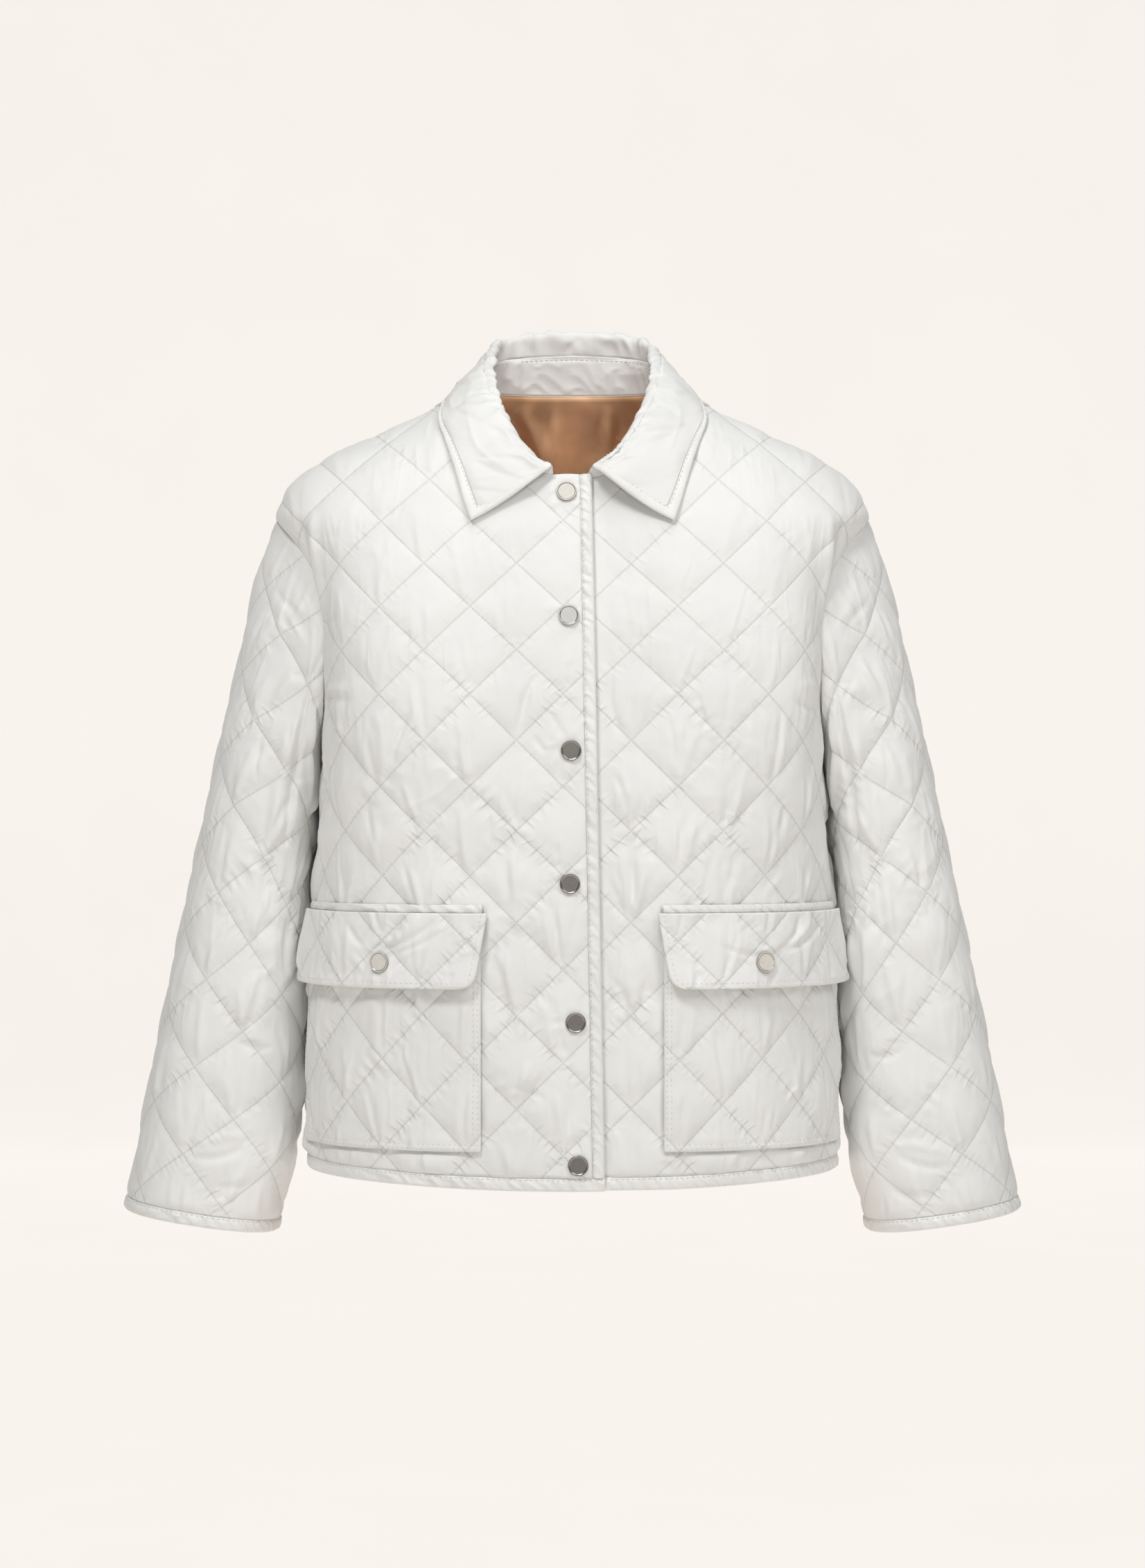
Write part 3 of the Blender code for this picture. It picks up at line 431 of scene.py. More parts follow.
# ---------------------------------------------------------------- meshes
def shell(name, outer, inner, looks, pattern, closed=False):
    """A closed cloth wall: a fine outer grid and an inner one of every second row and column."""
    rows, columns = outer.shape[:2]
    inner_rows, inner_columns = inner.shape[:2]
    out = np.arange(rows * columns).reshape(rows, columns)
    back = rows * columns + np.arange(inner_rows * inner_columns).reshape(inner_rows, inner_columns)
    pattern_back = pattern[::2, ::2]

    def corners(grid, values):
        if closed:
            grid = np.concatenate([grid, grid[:, :1]], axis=1)
        cells = np.stack([grid[:-1, :-1], grid[:-1, 1:], grid[1:, 1:], grid[1:, :-1]], axis=-1).reshape(-1, 4)
        uv = np.stack([values[:-1, :-1], values[:-1, 1:], values[1:, 1:], values[1:, :-1]], axis=2)
        return cells, uv.reshape(-1, 4, 2)

    outer_faces, outer_uv = corners(out, pattern)
    inner_faces, inner_uv = corners(back, pattern_back)
    inner_faces = inner_faces[:, ::-1]
    inner_uv = inner_uv[:, ::-1]
    rim_faces = []
    rim_uv = []

    def rim(edge, edge_uv, under, under_uv, forward):
        for k in range(len(under) - 1):
            face = [edge[2 * k], edge[2 * k + 1], edge[2 * k + 2], under[k + 1], under[k]]
            uv = [edge_uv[2 * k], edge_uv[2 * k + 1], edge_uv[2 * k + 2], under_uv[k + 1], under_uv[k]]
            rim_faces.append(face if forward else face[::-1])
            rim_uv.append(uv if forward else uv[::-1])

    def ringed(values):
        return np.append(values, values[:1]) if closed else values
    for row, forward in ((0, False), (-1, True)):
        rim(ringed(out[row]), pattern[row], ringed(back[row]), pattern_back[row], forward)
    if not closed:
        for column, forward in ((0, True), (-1, False)):
            rim(out[:, column], pattern[:, column], back[:, column], pattern_back[:, column], forward)
    middle = (rows // 2, columns // 2)
    span = columns if closed else columns - 1
    a, b, c, _ = outer.reshape(-1, 3)[outer_faces[middle[0] * span + middle[1]]]
    facing = np.dot(np.cross(b - a, c - a), outer[middle] - inner[middle[0] // 2, middle[1] // 2])
    faces = outer_faces.tolist() + inner_faces.tolist() + [[int(i) for i in face] for face in rim_faces]
    uvs = np.concatenate([outer_uv.reshape(-1, 2), inner_uv.reshape(-1, 2), np.array(rim_uv).reshape(-1, 2)])
    side = np.zeros(len(faces), dtype=np.int32)
    side[len(outer_faces):len(outer_faces) + len(inner_faces)] = len(looks) - 1
    if facing < 0:
        sizes = np.array([len(face) for face in faces])
        starts = np.concatenate([[0], np.cumsum(sizes)])
        faces = [face[::-1] for face in faces]
        order = np.concatenate([np.arange(e - 1, s - 1, -1) for s, e in zip(starts[:-1], starts[1:])])
        uvs = uvs[order]
    return solid(name, np.concatenate([outer.reshape(-1, 3), inner.reshape(-1, 3)]), faces, uvs, looks, side)


def solid(name, vertices, faces, uvs, looks, side=None):
    """A mesh object at the origin, with its pattern map and its looks."""
    mesh = bpy.data.meshes.new(name)
    mesh.from_pydata([tuple(v) for v in vertices], [], faces)
    if uvs is not None:
        layer = mesh.uv_layers.new(name="pattern")
        layer.data.foreach_set("uv", np.asarray(uvs, dtype=np.float32).ravel())
    for look in looks:
        mesh.materials.append(look)
    if side is not None:
        mesh.polygons.foreach_set("material_index", side)
    mesh.polygons.foreach_set("use_smooth", np.ones(len(faces), dtype=bool))
    mesh.update()
    made = bpy.data.objects.new(name, mesh)
    bpy.context.scene.collection.objects.link(made)
    return made


def area_of(points):
    """Area of a grid of points."""
    a = points[1:, 1:] - points[:-1, :-1]
    b = points[1:, :-1] - points[:-1, 1:]
    return float(np.linalg.norm(np.cross(a, b), axis=-1).sum() / 2)


def tell(made, node):
    """The piece rides on the jacket and stands for the model's own node."""
    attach(made, "root")
    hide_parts(node)


def cloth(made, node, flat, area):
    tell(made, node)
    area = min(area, flat[0] * flat[1])


# ---------------------------------------------------------------- panels of the body
def body_rows(back, low_z, steps):
    """Rows of a body panel from low_z up: centre height, outer height, outer share, turn of the armhole."""
    lower, armhole = steps
    armpit = ARMHOLE_Z - ARMHOLE_HALF_HEIGHT
    heights = np.linspace(low_z, armpit, lower)
    turns = np.linspace(math.pi, 0, armhole + 1)[1:]
    half = BACK_HALF if back else FRONT_HALF
    angle, z = armhole_point(-turns if back else turns)
    share = half.share(angle, z)
    share[-1] = 1.0
    top = BACK_AT_ARMHOLE_TOP_Z if back else FRONT_AT_ARMHOLE_TOP_Z
    centre = armpit + (1 - turns / math.pi) * (top - armpit)
    ones = np.ones(lower)
    signed = -turns if back else turns
    return (np.concatenate([heights, centre]), np.concatenate([heights, z]),
            np.concatenate([ones, share]), np.concatenate([ones * np.nan, signed]))


def shoulder_shares(count):
    """How far each row above the armhole has risen, for even steps along the shoulder seam."""
    heights = np.linspace(ARMHOLE_Z + ARMHOLE_HALF_HEIGHT, NECK_POINT_Z, 120)
    points = torso(np.full(120, math.pi / 2), heights)
    run = np.concatenate([[0], np.cumsum(np.linalg.norm(np.diff(points, axis=0), axis=1))])
    risen = (heights - heights[0]) / (heights[-1] - heights[0])
    return np.interp(np.linspace(0, run[-1], count + 1)[1:], run, risen)


def hem_drop(centre_z, dip):
    return dip * np.clip((POCKET_BOTTOM_Z - centre_z) / (POCKET_BOTTOM_Z - HEM_Z - BINDING), 0, 1)


def front_edges(rise, right):
    """Arcs of a front's edge, and of the columns next to it, for how far the row has risen."""
    if right:
        edge = -(RIGHT_EDGE_HEM + (RIGHT_EDGE_TOP - RIGHT_EDGE_HEM) * rise)
        centre = CENTRE_COLUMN_HEM + (COLLAR_END_RIGHT - CENTRE_COLUMN_HEM) * rise
        return [edge, edge + PLACKET_BINDING, centre]
    return [np.full_like(rise, -LEFT_EDGE), np.full_like(rise, COLLAR_END_LEFT)]


def front_places(right, rows, columns, shoulder):
    """Shares and heights of a front's grid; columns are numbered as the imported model's are."""
    centre_z, outer_z, outer_share, _ = rows
    total = FRONT_HALF.total(centre_z)
    side = FRONT_HALF.total(outer_z)
    arcs = front_edges((centre_z - HEM_Z) / (NECK_FRONT_Z - HEM_Z), right)
    arcs.append((arcs[-1] + POCKET_INNER) / 2)
    shares = [arc / total for arc in arcs]
    for arc in np.linspace(POCKET_INNER, POCKET_OUTER, 7):
        part = (arc - POCKET_INNER) / (side - POCKET_INNER)
        shares.append(POCKET_INNER / total + (outer_share - POCKET_INNER / total) * part)
    shares.append(outer_share)
    shares = np.array(shares).T
    low = np.minimum(columns.astype(int), shares.shape[1] - 2)
    part = columns - low
    share = shares[:, low] * (1 - part) + shares[:, low + 1] * part
    hang = np.cos(np.minimum(np.abs(share), 1) * math.pi / 2) ** 2
    height = (centre_z[:, None] + (outer_z - centre_z)[:, None]
              * np.maximum(share / outer_share[:, None], 0) ** 1.5
              - hem_drop(centre_z, HEM_DIP_FRONT)[:, None] * hang)
    top = FRONT_HALF.total(NECK_FRONT_Z)
    start = [float(arc[0]) / top for arc in front_edges(np.array([1.0]), right)]
    known = len(start) - 1
    last = shares.shape[1] - 1
    spread = (start[-1] ** 0.62 + (1 - start[-1] ** 0.62)
              * np.clip((columns - known) / (last - known), 0, 1)) ** (1 / 0.62)
    neck_share = np.where(columns < known, np.interp(columns, np.arange(len(start)), start), spread)
    neck_z = smooth_columns(NECK_EDGE, np.abs(neck_share))[:, 0]
    risen = shoulder_shares(shoulder)[:, None]
    share = np.concatenate([share, (1 - risen) * share[-1] + risen * neck_share])
    height = np.concatenate([height, (1 - risen) * height[-1] + risen * neck_z])
    return share, height


def back_places(rows, parts, shoulder):
    """Shares and heights of half of the back's grid, from the centre back to the side."""
    centre_z, outer_z, outer_share, _ = rows
    share = outer_share[:, None] * parts
    height = (centre_z[:, None] + (outer_z - centre_z)[:, None] * parts ** 1.5
              - hem_drop(centre_z, HEM_DIP_BACK)[:, None] * np.cos(parts * math.pi / 2) ** 2)
    neck_z = NECK_BACK_Z + (NECK_POINT_Z - NECK_BACK_Z) * parts ** 2
    risen = shoulder_shares(shoulder)[:, None]
    share = np.concatenate([share, (1 - risen) * share[-1] + risen * parts])
    height = np.concatenate([height, (1 - risen) * height[-1] + risen * neck_z])
    return share, height


def side_normals(rows, shoulder, heights):
    """Normals that a panel's outer edge shares with its neighbours: side seam, armhole, shoulder seam."""
    turns = np.concatenate([rows[3], np.full(shoulder, np.nan)])
    plain = torso_normal(np.full(len(heights), math.pi / 2), heights)
    at_armhole = shared_normal(np.nan_to_num(turns))
    return np.where(np.isnan(turns)[:, None], plain, at_armhole)


def cloth_height(z, column):
    """Height measured along the cloth, down the centre line."""
    levels = np.linspace(-0.61, 0.008, 200)
    depth = smooth_columns(FORM, levels)[:, column]
    run = np.concatenate([[0], np.cumsum(np.hypot(np.diff(levels), np.diff(depth)))])
    reference = np.interp(LATTICE_Z, levels, run)
    slide = np.interp(z, (-0.36, -0.30, -0.236, -0.205, -0.143, -0.10, -0.02),
                      (0, 0.003, 0.0035, 0.0052, 0.0088, 0.0105, 0.012))
    return np.interp(z, levels, run) - reference + slide


class Panel:
    """A body panel's fine grid: base points, normals, and coordinates along the cloth."""

    def __init__(self, side, low_z=HEM_Z + BINDING, first_column=None):
        self.side = side
        if side == "back":
            steps, shoulder = (140, 84), 71
            rows = body_rows(True, low_z, steps)
            parts = np.linspace(0, 1, 101)
            share, height = back_places(rows, parts, shoulder)
            points = torso(BACK_HALF.angle(share, height), height)
            normals = torso_normal(BACK_HALF.angle(share, height), height)
            edge = side_normals(rows, shoulder, height[:, -1])
            normals = led_to(normals, edge[:, None], from_edge(points, 1, True))
            flip = np.array([-1.0, 1.0, 1.0])
            self.points = np.concatenate([(points * flip)[:, :0:-1], points], axis=1)
            self.normals = np.concatenate([(normals * flip)[:, :0:-1], normals], axis=1)
            arc = share * BACK_HALF.total(height)
            self.x = np.concatenate([-arc[:, :0:-1], arc], axis=1)
            self.z = np.concatenate([height[:, :0:-1], height], axis=1)
            depth_column = 2
        else:
            right = side == "right"
            steps, shoulder = (167, 100), 84
            start = (1.0 if right else 0.0) if first_column is None else first_column
            offset = 1 if right else 0
            knots = ([1, 2, 3, 4, 10, 11] if right else [0, 1, 2, 3, 9, 10])
            counts = [10, 16, 16, 96, 24] if right else [16, 16, 16, 94, 24]
            spans = zip(knots[:-1], knots[1:], counts)
            columns = np.concatenate([np.linspace(a, b, n + 1)[:-1] for a, b, n in spans] + [[knots[-1]]])
            if len(columns) % 2 == 0:
                raise RuntimeError("a front needs an odd number of columns")
            rows = body_rows(False, low_z, steps)
            share, height = front_places(right, rows, columns, shoulder)
            angle = FRONT_HALF.angle(share, height)
            points = torso(angle, height)
            normals = torso_normal(angle, height)
            edge = side_normals(rows, shoulder, height[:, -1])
            normals = led_to(normals, edge[:, None], from_edge(points, 1, True))
            arc = share * FRONT_HALF.total(height)
            if not right:
                depth = UNDERLAP_DEPTH * ease((UNDERLAP_END - arc) / (UNDERLAP_END - UNDERLAP_FULL))
                points = points - normals * depth[..., None]
            flip = np.array([-1.0 if right else 1.0, 1.0, 1.0])
            self.points = points * flip
            self.normals = normals * flip
            self.x = arc
            self.z = height
            depth_column = 1
        if len(self.points) % 2 == 0:
            raise RuntimeError("a panel needs an odd number of rows")
        y = cloth_height(self.z, depth_column)
        shoulderwards = ease((self.z + 0.1300) / 0.0600)
        sideways = np.sign(self.x) * np.abs(self.points[..., 0]) * 1.03
        x = self.x * (1 - shoulderwards) + sideways * shoulderwards
        self.u, self.v = lattice(x, y, LATTICE_X[side], 0.0)
        near_tip = 1 - 0.6 * ease((self.z + 0.150) / 0.035) + 1.4 * ease((-0.155 - self.z) / 0.020)
        edges = [from_edge(self.points, 0, last) for last in (False, True)]
        edges += [from_edge(self.points, 1, last) * (near_tip if last or side == "back" else 1.0)
                  for last in (False, True)]
        self.to_edge = np.minimum.reduce(edges)


class Sleeve:
    """The left sleeve's fine rings: base points, normals, and coordinates along the cloth."""

    def __init__(self, first=0.0, last=CUFF_SEAM_RING, rows=233, columns=216):
        rings = np.linspace(first, last, rows)
        turns = np.linspace(-math.pi, math.pi, columns + 1)
        full = sleeve_form(rings, turns)
        full[:, -1] = full[:, 0]
        run = from_edge(full, 1, False)
        self.arc = run - run[:, columns // 2:columns // 2 + 1]
        self.points = full[:, :-1]
        self.turns = turns
        outward = self.points - self.points.mean(axis=1, keepdims=True)
        normals = grid_normals(self.points, outward, closed=True)
        down = from_edge(self.points, 0, False)
        if first == 0:
            normals = led_to(normals, shared_normal(turns[:-1])[None], down)
        self.normals = normals
        way = np.array([0.195, 0.0, -0.981])
        self.down = np.sum((full - np.array([0.2265, 0.0, -0.0990])) * way, axis=-1)
        low = (self.arc - SLEEVE_COLUMNS[0]) / SLEEVE_COLUMNS[1]
        high = np.interp(self.arc, *SLEEVE_COLUMNS_HIGH)
        column = high + (low - high) * ease((self.down - 0.19) / 0.13)
        self.u, self.v = lattice(column / 2, -self.down, 0.0, -SLEEVE_LATTICE_Y, 1.0, SLEEVE_DIAMOND_LONG)
        half = run[:, -1:] / 2
        near_tip = 1 - 0.6 * ease((full[..., 2] + 0.160) / 0.035)
        self.to_edge = np.minimum.reduce([from_edge(full, 0, False) * near_tip, from_edge(full, 0, True),
                                          half - np.abs(self.arc)])



# ---------------------------------------------------------------- collar, bands and small pieces
STAND_STITCH = 0.91        # height of the stand's stitch line over its full height
STAND_SHARE = 0.62         # of the height from neck seam to roll line
FOLD = 0.0050              # across the roll, from the stand's side to the leaf's
LEAF_LIFT = 0.0026         # leaf's underside above the body
COLLAR_BINDING = 0.0080
LEAF_START = 0.10
# Roll line: share of the way from the collar's front end to the centre back, x, y, z
ROLL = (
    (0.00, 0.0150, -0.1090, -0.0690),
    (0.12, 0.0285, -0.1050, -0.0600),
    (0.28, 0.0465, -0.0880, -0.0345),
    (0.42, 0.0560, -0.0580, -0.0090),
    (0.58, 0.0600, -0.0120, 0.0190),
    (0.72, 0.0595, 0.0250, 0.0365),
    (0.86, 0.0425, 0.0505, 0.0475),
    (1.00, 0.0000, 0.0590, 0.0520),
)
# Outer edge of the leaf on the torso form: share, angle in degrees, z
LEAF_EDGE = (
    (0.00, 32.9, -0.1104),
    (0.28, 42.5, -0.0673),
    (0.45, 54.0, -0.0400),
    (0.59, 79.0, -0.0150),
    (0.75, 121.0, -0.0195),
    (0.88, 147.0, -0.0165),
    (1.00, 180.0, -0.0160),
)


def along_path(points, at):
    """Points of a polyline at lengths along it."""
    run = np.concatenate([[0], np.cumsum(np.linalg.norm(np.diff(points, axis=0), axis=1))])
    return np.stack([np.interp(at, run, points[:, k]) for k in range(points.shape[1])], axis=-1)


def path_length(points):
    return float(np.linalg.norm(np.diff(points, axis=0), axis=1).sum())


def curved(points, counts):
    """Points of a smooth curve through rows of control points, with so many steps between each pair."""
    ends = np.concatenate([[2 * points[0] - points[1]], points, [2 * points[-1] - points[-2]]])
    rows = []
    for k, count in enumerate(counts):
        a, b, c, d = ends[k:k + 4]
        for t in np.linspace(0, 1, count, endpoint=False):
            rows.append(0.5 * (2 * b + (c - a) * t + (2 * a - 5 * b + 4 * c - d) * t ** 2
                               + (3 * b - a - 3 * c + d) * t ** 3))
    return np.array(rows + [points[-1]])


def neck_run(count):
    """The neck seam from the right front round the back: points, normals, half shares and sides."""
    top = FRONT_HALF.total(NECK_FRONT_Z)
    points = []
    normals = []
    for start, sign in ((COLLAR_END_RIGHT, -1.0), (COLLAR_END_LEFT, 1.0)):
        share = np.linspace((start / top) ** 0.62, 1, 220) ** (1 / 0.62)
        z = smooth_columns(NECK_EDGE, share)[:, 0]
        angle = FRONT_HALF.angle(share, z)
        line = torso(angle, z)
        normal = torso_normal(angle, z)
        if sign > 0:
            reach = UNDERLAP_END - share * FRONT_HALF.total(z)
            depth = UNDERLAP_DEPTH * ease(reach / (UNDERLAP_END - UNDERLAP_FULL))
            line = line - normal * depth[:, None]
        flip = np.array([sign, 1.0, 1.0])
        points.append((line * flip)[::-1 if sign > 0 else 1])
        normals.append((normal * flip)[::-1 if sign > 0 else 1])
    part = np.linspace(-1, 1, 301)[1:-1]
    z = NECK_BACK_Z + (NECK_POINT_Z - NECK_BACK_Z) * part ** 2
    angle = BACK_HALF.angle(np.abs(part), z)
    flip = np.stack([np.sign(part + TINY), np.ones(299), np.ones(299)], axis=1)
    points.insert(1, torso(angle, z) * flip)
    normals.insert(1, torso_normal(angle, z) * flip)
    middle = path_length(np.concatenate([points[0], points[1][:150]]))
    both = np.concatenate([np.concatenate(points), np.concatenate(normals)], axis=1)
    run = np.concatenate([[0], np.cumsum(np.linalg.norm(np.diff(both[:, :3], axis=0), axis=1))])
    steps = count // 2 + 1
    at = np.concatenate([np.linspace(0, middle, steps)[:-1], np.linspace(middle, run[-1], steps)])
    found = np.stack([np.interp(at, run, both[:, k]) for k in range(6)], axis=-1)
    shares = np.where(at <= middle, at / middle, (run[-1] - at) / (run[-1] - middle))
    return found[:, :3], unit(found[:, 3:]), shares, np.where(at <= middle, -1.0, 1.0), at


class Collar:
    """Mid-surfaces of stand and fall on fine stations along the neck seam."""

    def __init__(self, count=301):
        seam, seam_normals, shares, sides, self.at = neck_run(count)
        signs = np.stack([sides, np.ones_like(sides), np.ones_like(sides)], axis=1)
        self.roll = smooth_columns(ROLL, shares) * signs
        angle, self.edge_z = smooth_columns(LEAF_EDGE, shares).T
        self.edge_angle = np.radians(angle) * sides
        self.seam_angle = np.arctan2(np.abs(seam[:, 0]), -seam[:, 1]) * sides
        self.outward = np.stack([np.sin(self.seam_angle), -np.cos(self.seam_angle), np.zeros_like(sides)],
                                axis=1)
        self.seam = seam
        self.seam_normals = seam_normals
        self.shares = shares
        self.rise = self.roll - seam
        self.stand_top = seam + self.rise * STAND_SHARE
        fall_width = np.linalg.norm(torso(self.edge_angle, self.edge_z) - self.roll, axis=1)
        self.binding_share = COLLAR_BINDING / fall_width
        half = COLLAR_CLOTH / 2
        foot = self.stand_top - self.outward * half
        arch = [self.roll - self.rise * 0.12 + self.outward * (FOLD / 2 - half * 0.5)
                - self.outward * (FOLD / 2 + half * 0.5) * math.cos(turn) + self.rise * 0.12 * math.sin(turn)
                for turn in np.linspace(0, math.pi, 7)]
        leaf = [self.leaf(np.full(len(shares), reach)) for reach in np.linspace(LEAF_START, 1, 40)]
        start = curved(np.array([foot, *arch, leaf[0]]), [6, 2, 2, 2, 2, 2, 2, 4])
        reaches = np.linspace(0, 1, 37)[1:, None] * (1 - self.binding_share - LEAF_START) + LEAF_START
        rest = np.array([self.leaf(reach) for reach in reaches])
        self.fall = np.concatenate([start, rest])
        self.fall_normals = self.facing(self.fall)

    def leaf(self, reach):
        turn = self.seam_angle + (self.edge_angle - self.seam_angle) * reach
        height = self.seam[:, 2] + (self.edge_z - self.seam[:, 2]) * reach
        lift = torso_normal(turn, height) * (LEAF_LIFT * np.minimum(reach / 0.3, 1))[:, None]
        return torso(turn, height) + lift + (self.rise + self.outward * FOLD) * ((1 - reach) ** 1.25)[:, None]

    def facing(self, grid):
        normals = unit(np.cross(np.gradient(grid, axis=1), np.gradient(grid, axis=0)))
        sign = np.sign(np.sum(normals[-1] * torso_normal(self.edge_angle, self.edge_z)))
        return normals * sign


def band(name, inner, rim, normals, half, looks, closed=False, seed=0, gather=0.00075, puff=0.00025, steps=9):
    """A folded band between two rails: a flat tube with soft gathers, thinnest where it is stitched."""
    along = np.concatenate([[0], np.cumsum(np.linalg.norm(np.diff((inner + rim) / 2, axis=0), axis=1))])
    across = np.linspace(0, 1, steps)
    rounded = np.sqrt(np.maximum(1 - np.abs(2 * across - 1) ** 5, 0)) * 0.86 + 0.14
    width = np.linalg.norm(rim - inner, axis=1).mean()
    slanted = along[:, None] + across[None] * width * 0.9
    folds = noise(slanted / 0.0062, across[None] * 0.8 + seed, seed)
    folds = folds + 0.5 * noise(slanted / 0.0031, across[None] * 1.3, seed + 1)
    strength = np.clip(0.7 + 0.7 * noise(along / 0.045, along * 0 + seed, seed + 2), 0.1, 1.4)[:, None]
    stitch = np.exp(-((across - 0.16) * width / 0.0011) ** 2)
    arch = np.sin(across * math.pi)
    top = (half + puff * arch) * rounded + gather * folds * strength * arch ** 0.5
    top = top - 0.0006 * stitch
    low = half * rounded + 0 * top
    middle = inner[:, None] + (rim - inner)[:, None] * across[None, :, None]
    upper = middle + normals[:, None] * top[..., None]
    lower = middle - normals[:, None] * low[..., None]
    ring = np.concatenate([upper, lower[:, ::-1]], axis=1)
    pattern_x = np.concatenate([across, across[::-1]]) * width
    count = ring.shape[1]
    index = np.arange(len(ring) * count).reshape(len(ring), count)
    faces = []
    uvs = []
    spans = len(ring) if closed else len(ring) - 1
    for k in range(spans):
        after = (k + 1) % len(ring)
        s0 = along[k]
        s1 = along[k + 1] if k + 1 < len(along) else along[k] + 0.0015
        for c in range(count):
            d = (c + 1) % count
            faces.append((index[k, c], index[k, d], index[after, d], index[after, c]))
            uvs += [(s0, pattern_x[c]), (s0, pattern_x[d]), (s1, pattern_x[d]), (s1, pattern_x[c])]
    if not closed:
        faces.append(tuple(index[0][::-1]))
        uvs += [(0.0, pattern_x[c]) for c in range(count)][::-1]
        faces.append(tuple(index[-1]))
        uvs += [(along[-1], pattern_x[c]) for c in range(count)]
    a, b, c = ring[len(ring) // 2, 3], ring[len(ring) // 2, 4], ring[len(ring) // 2 + 1, 4]
    if np.dot(np.cross(b - a, c - a), normals[len(ring) // 2]) < 0:
        sizes = [len(face) for face in faces]
        faces = [face[::-1] for face in faces]
        turned = []
        start = 0
        for size in sizes:
            turned += uvs[start:start + size][::-1]
            start += size
        uvs = turned
    made = solid(name, ring.reshape(-1, 3), [tuple(int(i) for i in face) for face in faces], uvs, looks)
    lift = top[:, 1:2] * 0.5 + top[:, 2:3] * 0.5 + 0.00005
    stitched = middle[:, 0] * 0.84 + middle[:, -1] * 0.16 + normals * lift
    return made, stitched


THREAD_SIDES = 4
THREAD_RINGS = 3


def thread(name, paths, length=0.0030, gap=0.0010, radius=0.00030, slot="plain_trim"):
    """Topstitching: every stitch a short rounded thread that dips into the cloth at both ends."""
    vertices = []
    faces = []
    for points, normals in paths:
        run = np.concatenate([[0], np.cumsum(np.linalg.norm(np.diff(points, axis=0), axis=1))])
        count = int(run[-1] // (length + gap))
        for k in range(count):
            start = k * (length + gap) + gap / 2
            at = start + length * np.array([0.0, 0.5, 1.0])
            middle = np.stack([np.interp(at, run, points[:, i]) for i in range(3)], axis=-1)
            up = unit(np.stack([np.interp(at, run, normals[:, i]) for i in range(3)], axis=-1))
            way = unit(middle[-1] - middle[0])
            aside = unit(np.cross(up, way))
            lift = np.array([-0.0004, 0.00016, -0.0004])[:, None]
            size = radius * np.array([0.6, 1.1, 0.6])[:, None]
            base = len(vertices)
            for turn in np.linspace(0, 2 * math.pi, THREAD_SIDES, endpoint=False):
                height = lift + size * math.cos(turn) * 0.8
                vertices.extend(middle + up * height + aside * size * math.sin(turn))
            starts = [base + c * THREAD_RINGS for c in range(THREAD_SIDES)]
            for here, there in zip(starts, starts[1:] + starts[:1]):
                for r in range(THREAD_RINGS - 1):
                    faces.append((here + r, here + r + 1, there + r + 1, there + r))
            faces.append(tuple(starts))
            faces.append(tuple(start + THREAD_RINGS - 1 for start in reversed(starts)))
    made = solid(name, vertices, faces, None, [look("thread")])
    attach(made, "root")
    return made


def grid_at(grid, rows, columns):
    """Values of a grid at fractional rows and columns."""
    rows = np.clip(rows, 0, grid.shape[0] - 1.001)
    columns = np.clip(columns, 0, grid.shape[1] - 1.001)
    row = rows.astype(int)
    column = columns.astype(int)
    up = (rows - row)[:, None]
    on = (columns - column)[:, None]
    low = grid[row, column] * (1 - on) + grid[row, column + 1] * on
    high = grid[row + 1, column] * (1 - on) + grid[row + 1, column + 1] * on
    return low * (1 - up) + high * up


def front_at(arc, z, right):
    """Points and normals of a plain front at arcs from the centre line and heights."""
    angle = FRONT_HALF.angle(arc / FRONT_HALF.total(z), z)
    points = torso(angle, z)
    normals = torso_normal(angle, z)
    if not right:
        depth = UNDERLAP_DEPTH * ease((UNDERLAP_END - arc) / (UNDERLAP_END - UNDERLAP_FULL))
        points = points - normals * depth[..., None]
    flip = np.array([-1.0 if right else 1.0, 1.0, 1.0])
    return points * flip, normals * flip


# ---------------------------------------------------------------- materials
def linear(hex_colour):
    """An sRGB hex colour as linear values."""
    channels = [int(hex_colour[i:i + 2], 16) / 255 for i in (0, 2, 4)]
    return tuple(c / 12.92 if c <= 0.04045 else ((c + 0.055) / 1.055) ** 2.4 for c in channels)


def add_node(tree, kind, sockets=(), **settings):
    """A node with its settings, and its sockets set to values or linked."""
    made = tree.nodes.new(kind)
    for key, value in settings.items():
        setattr(made, key, value)
    for socket, value in dict(sockets).items():
        if isinstance(value, bpy.types.NodeSocket):
            tree.links.new(value, made.inputs[socket])
        else:
            made.inputs[socket].default_value = value
    return made.outputs[0]


def sums(tree, operation, a, b=0.0, c=0.0):
    return add_node(tree, "ShaderNodeMath", {0: a, 1: b, 2: c}, operation=operation)


def span(tree, value, low, high, to_low=0.0, to_high=1.0):
    return add_node(tree, "ShaderNodeMapRange", {0: value, 1: low, 2: high, 3: to_low, 4: to_high},
                    interpolation_type="SMOOTHSTEP")


def blended(tree, factor, first, second, mode="MIX"):
    made = tree.nodes.new("ShaderNodeMix")
    made.data_type = "RGBA"
    made.blend_type = mode
    for socket, value in ((0, factor), (6, first), (7, second)):
        if isinstance(value, bpy.types.NodeSocket):
            tree.links.new(value, made.inputs[socket])
        else:
            made.inputs[socket].default_value = value
    return made.outputs[2]


def grain(tree, place, scale, detail=2.0, roughness=0.5):
    return add_node(tree, "ShaderNodeTexNoise", {"Vector": place, "Scale": scale, "Detail": detail,
                                                 "Roughness": roughness})


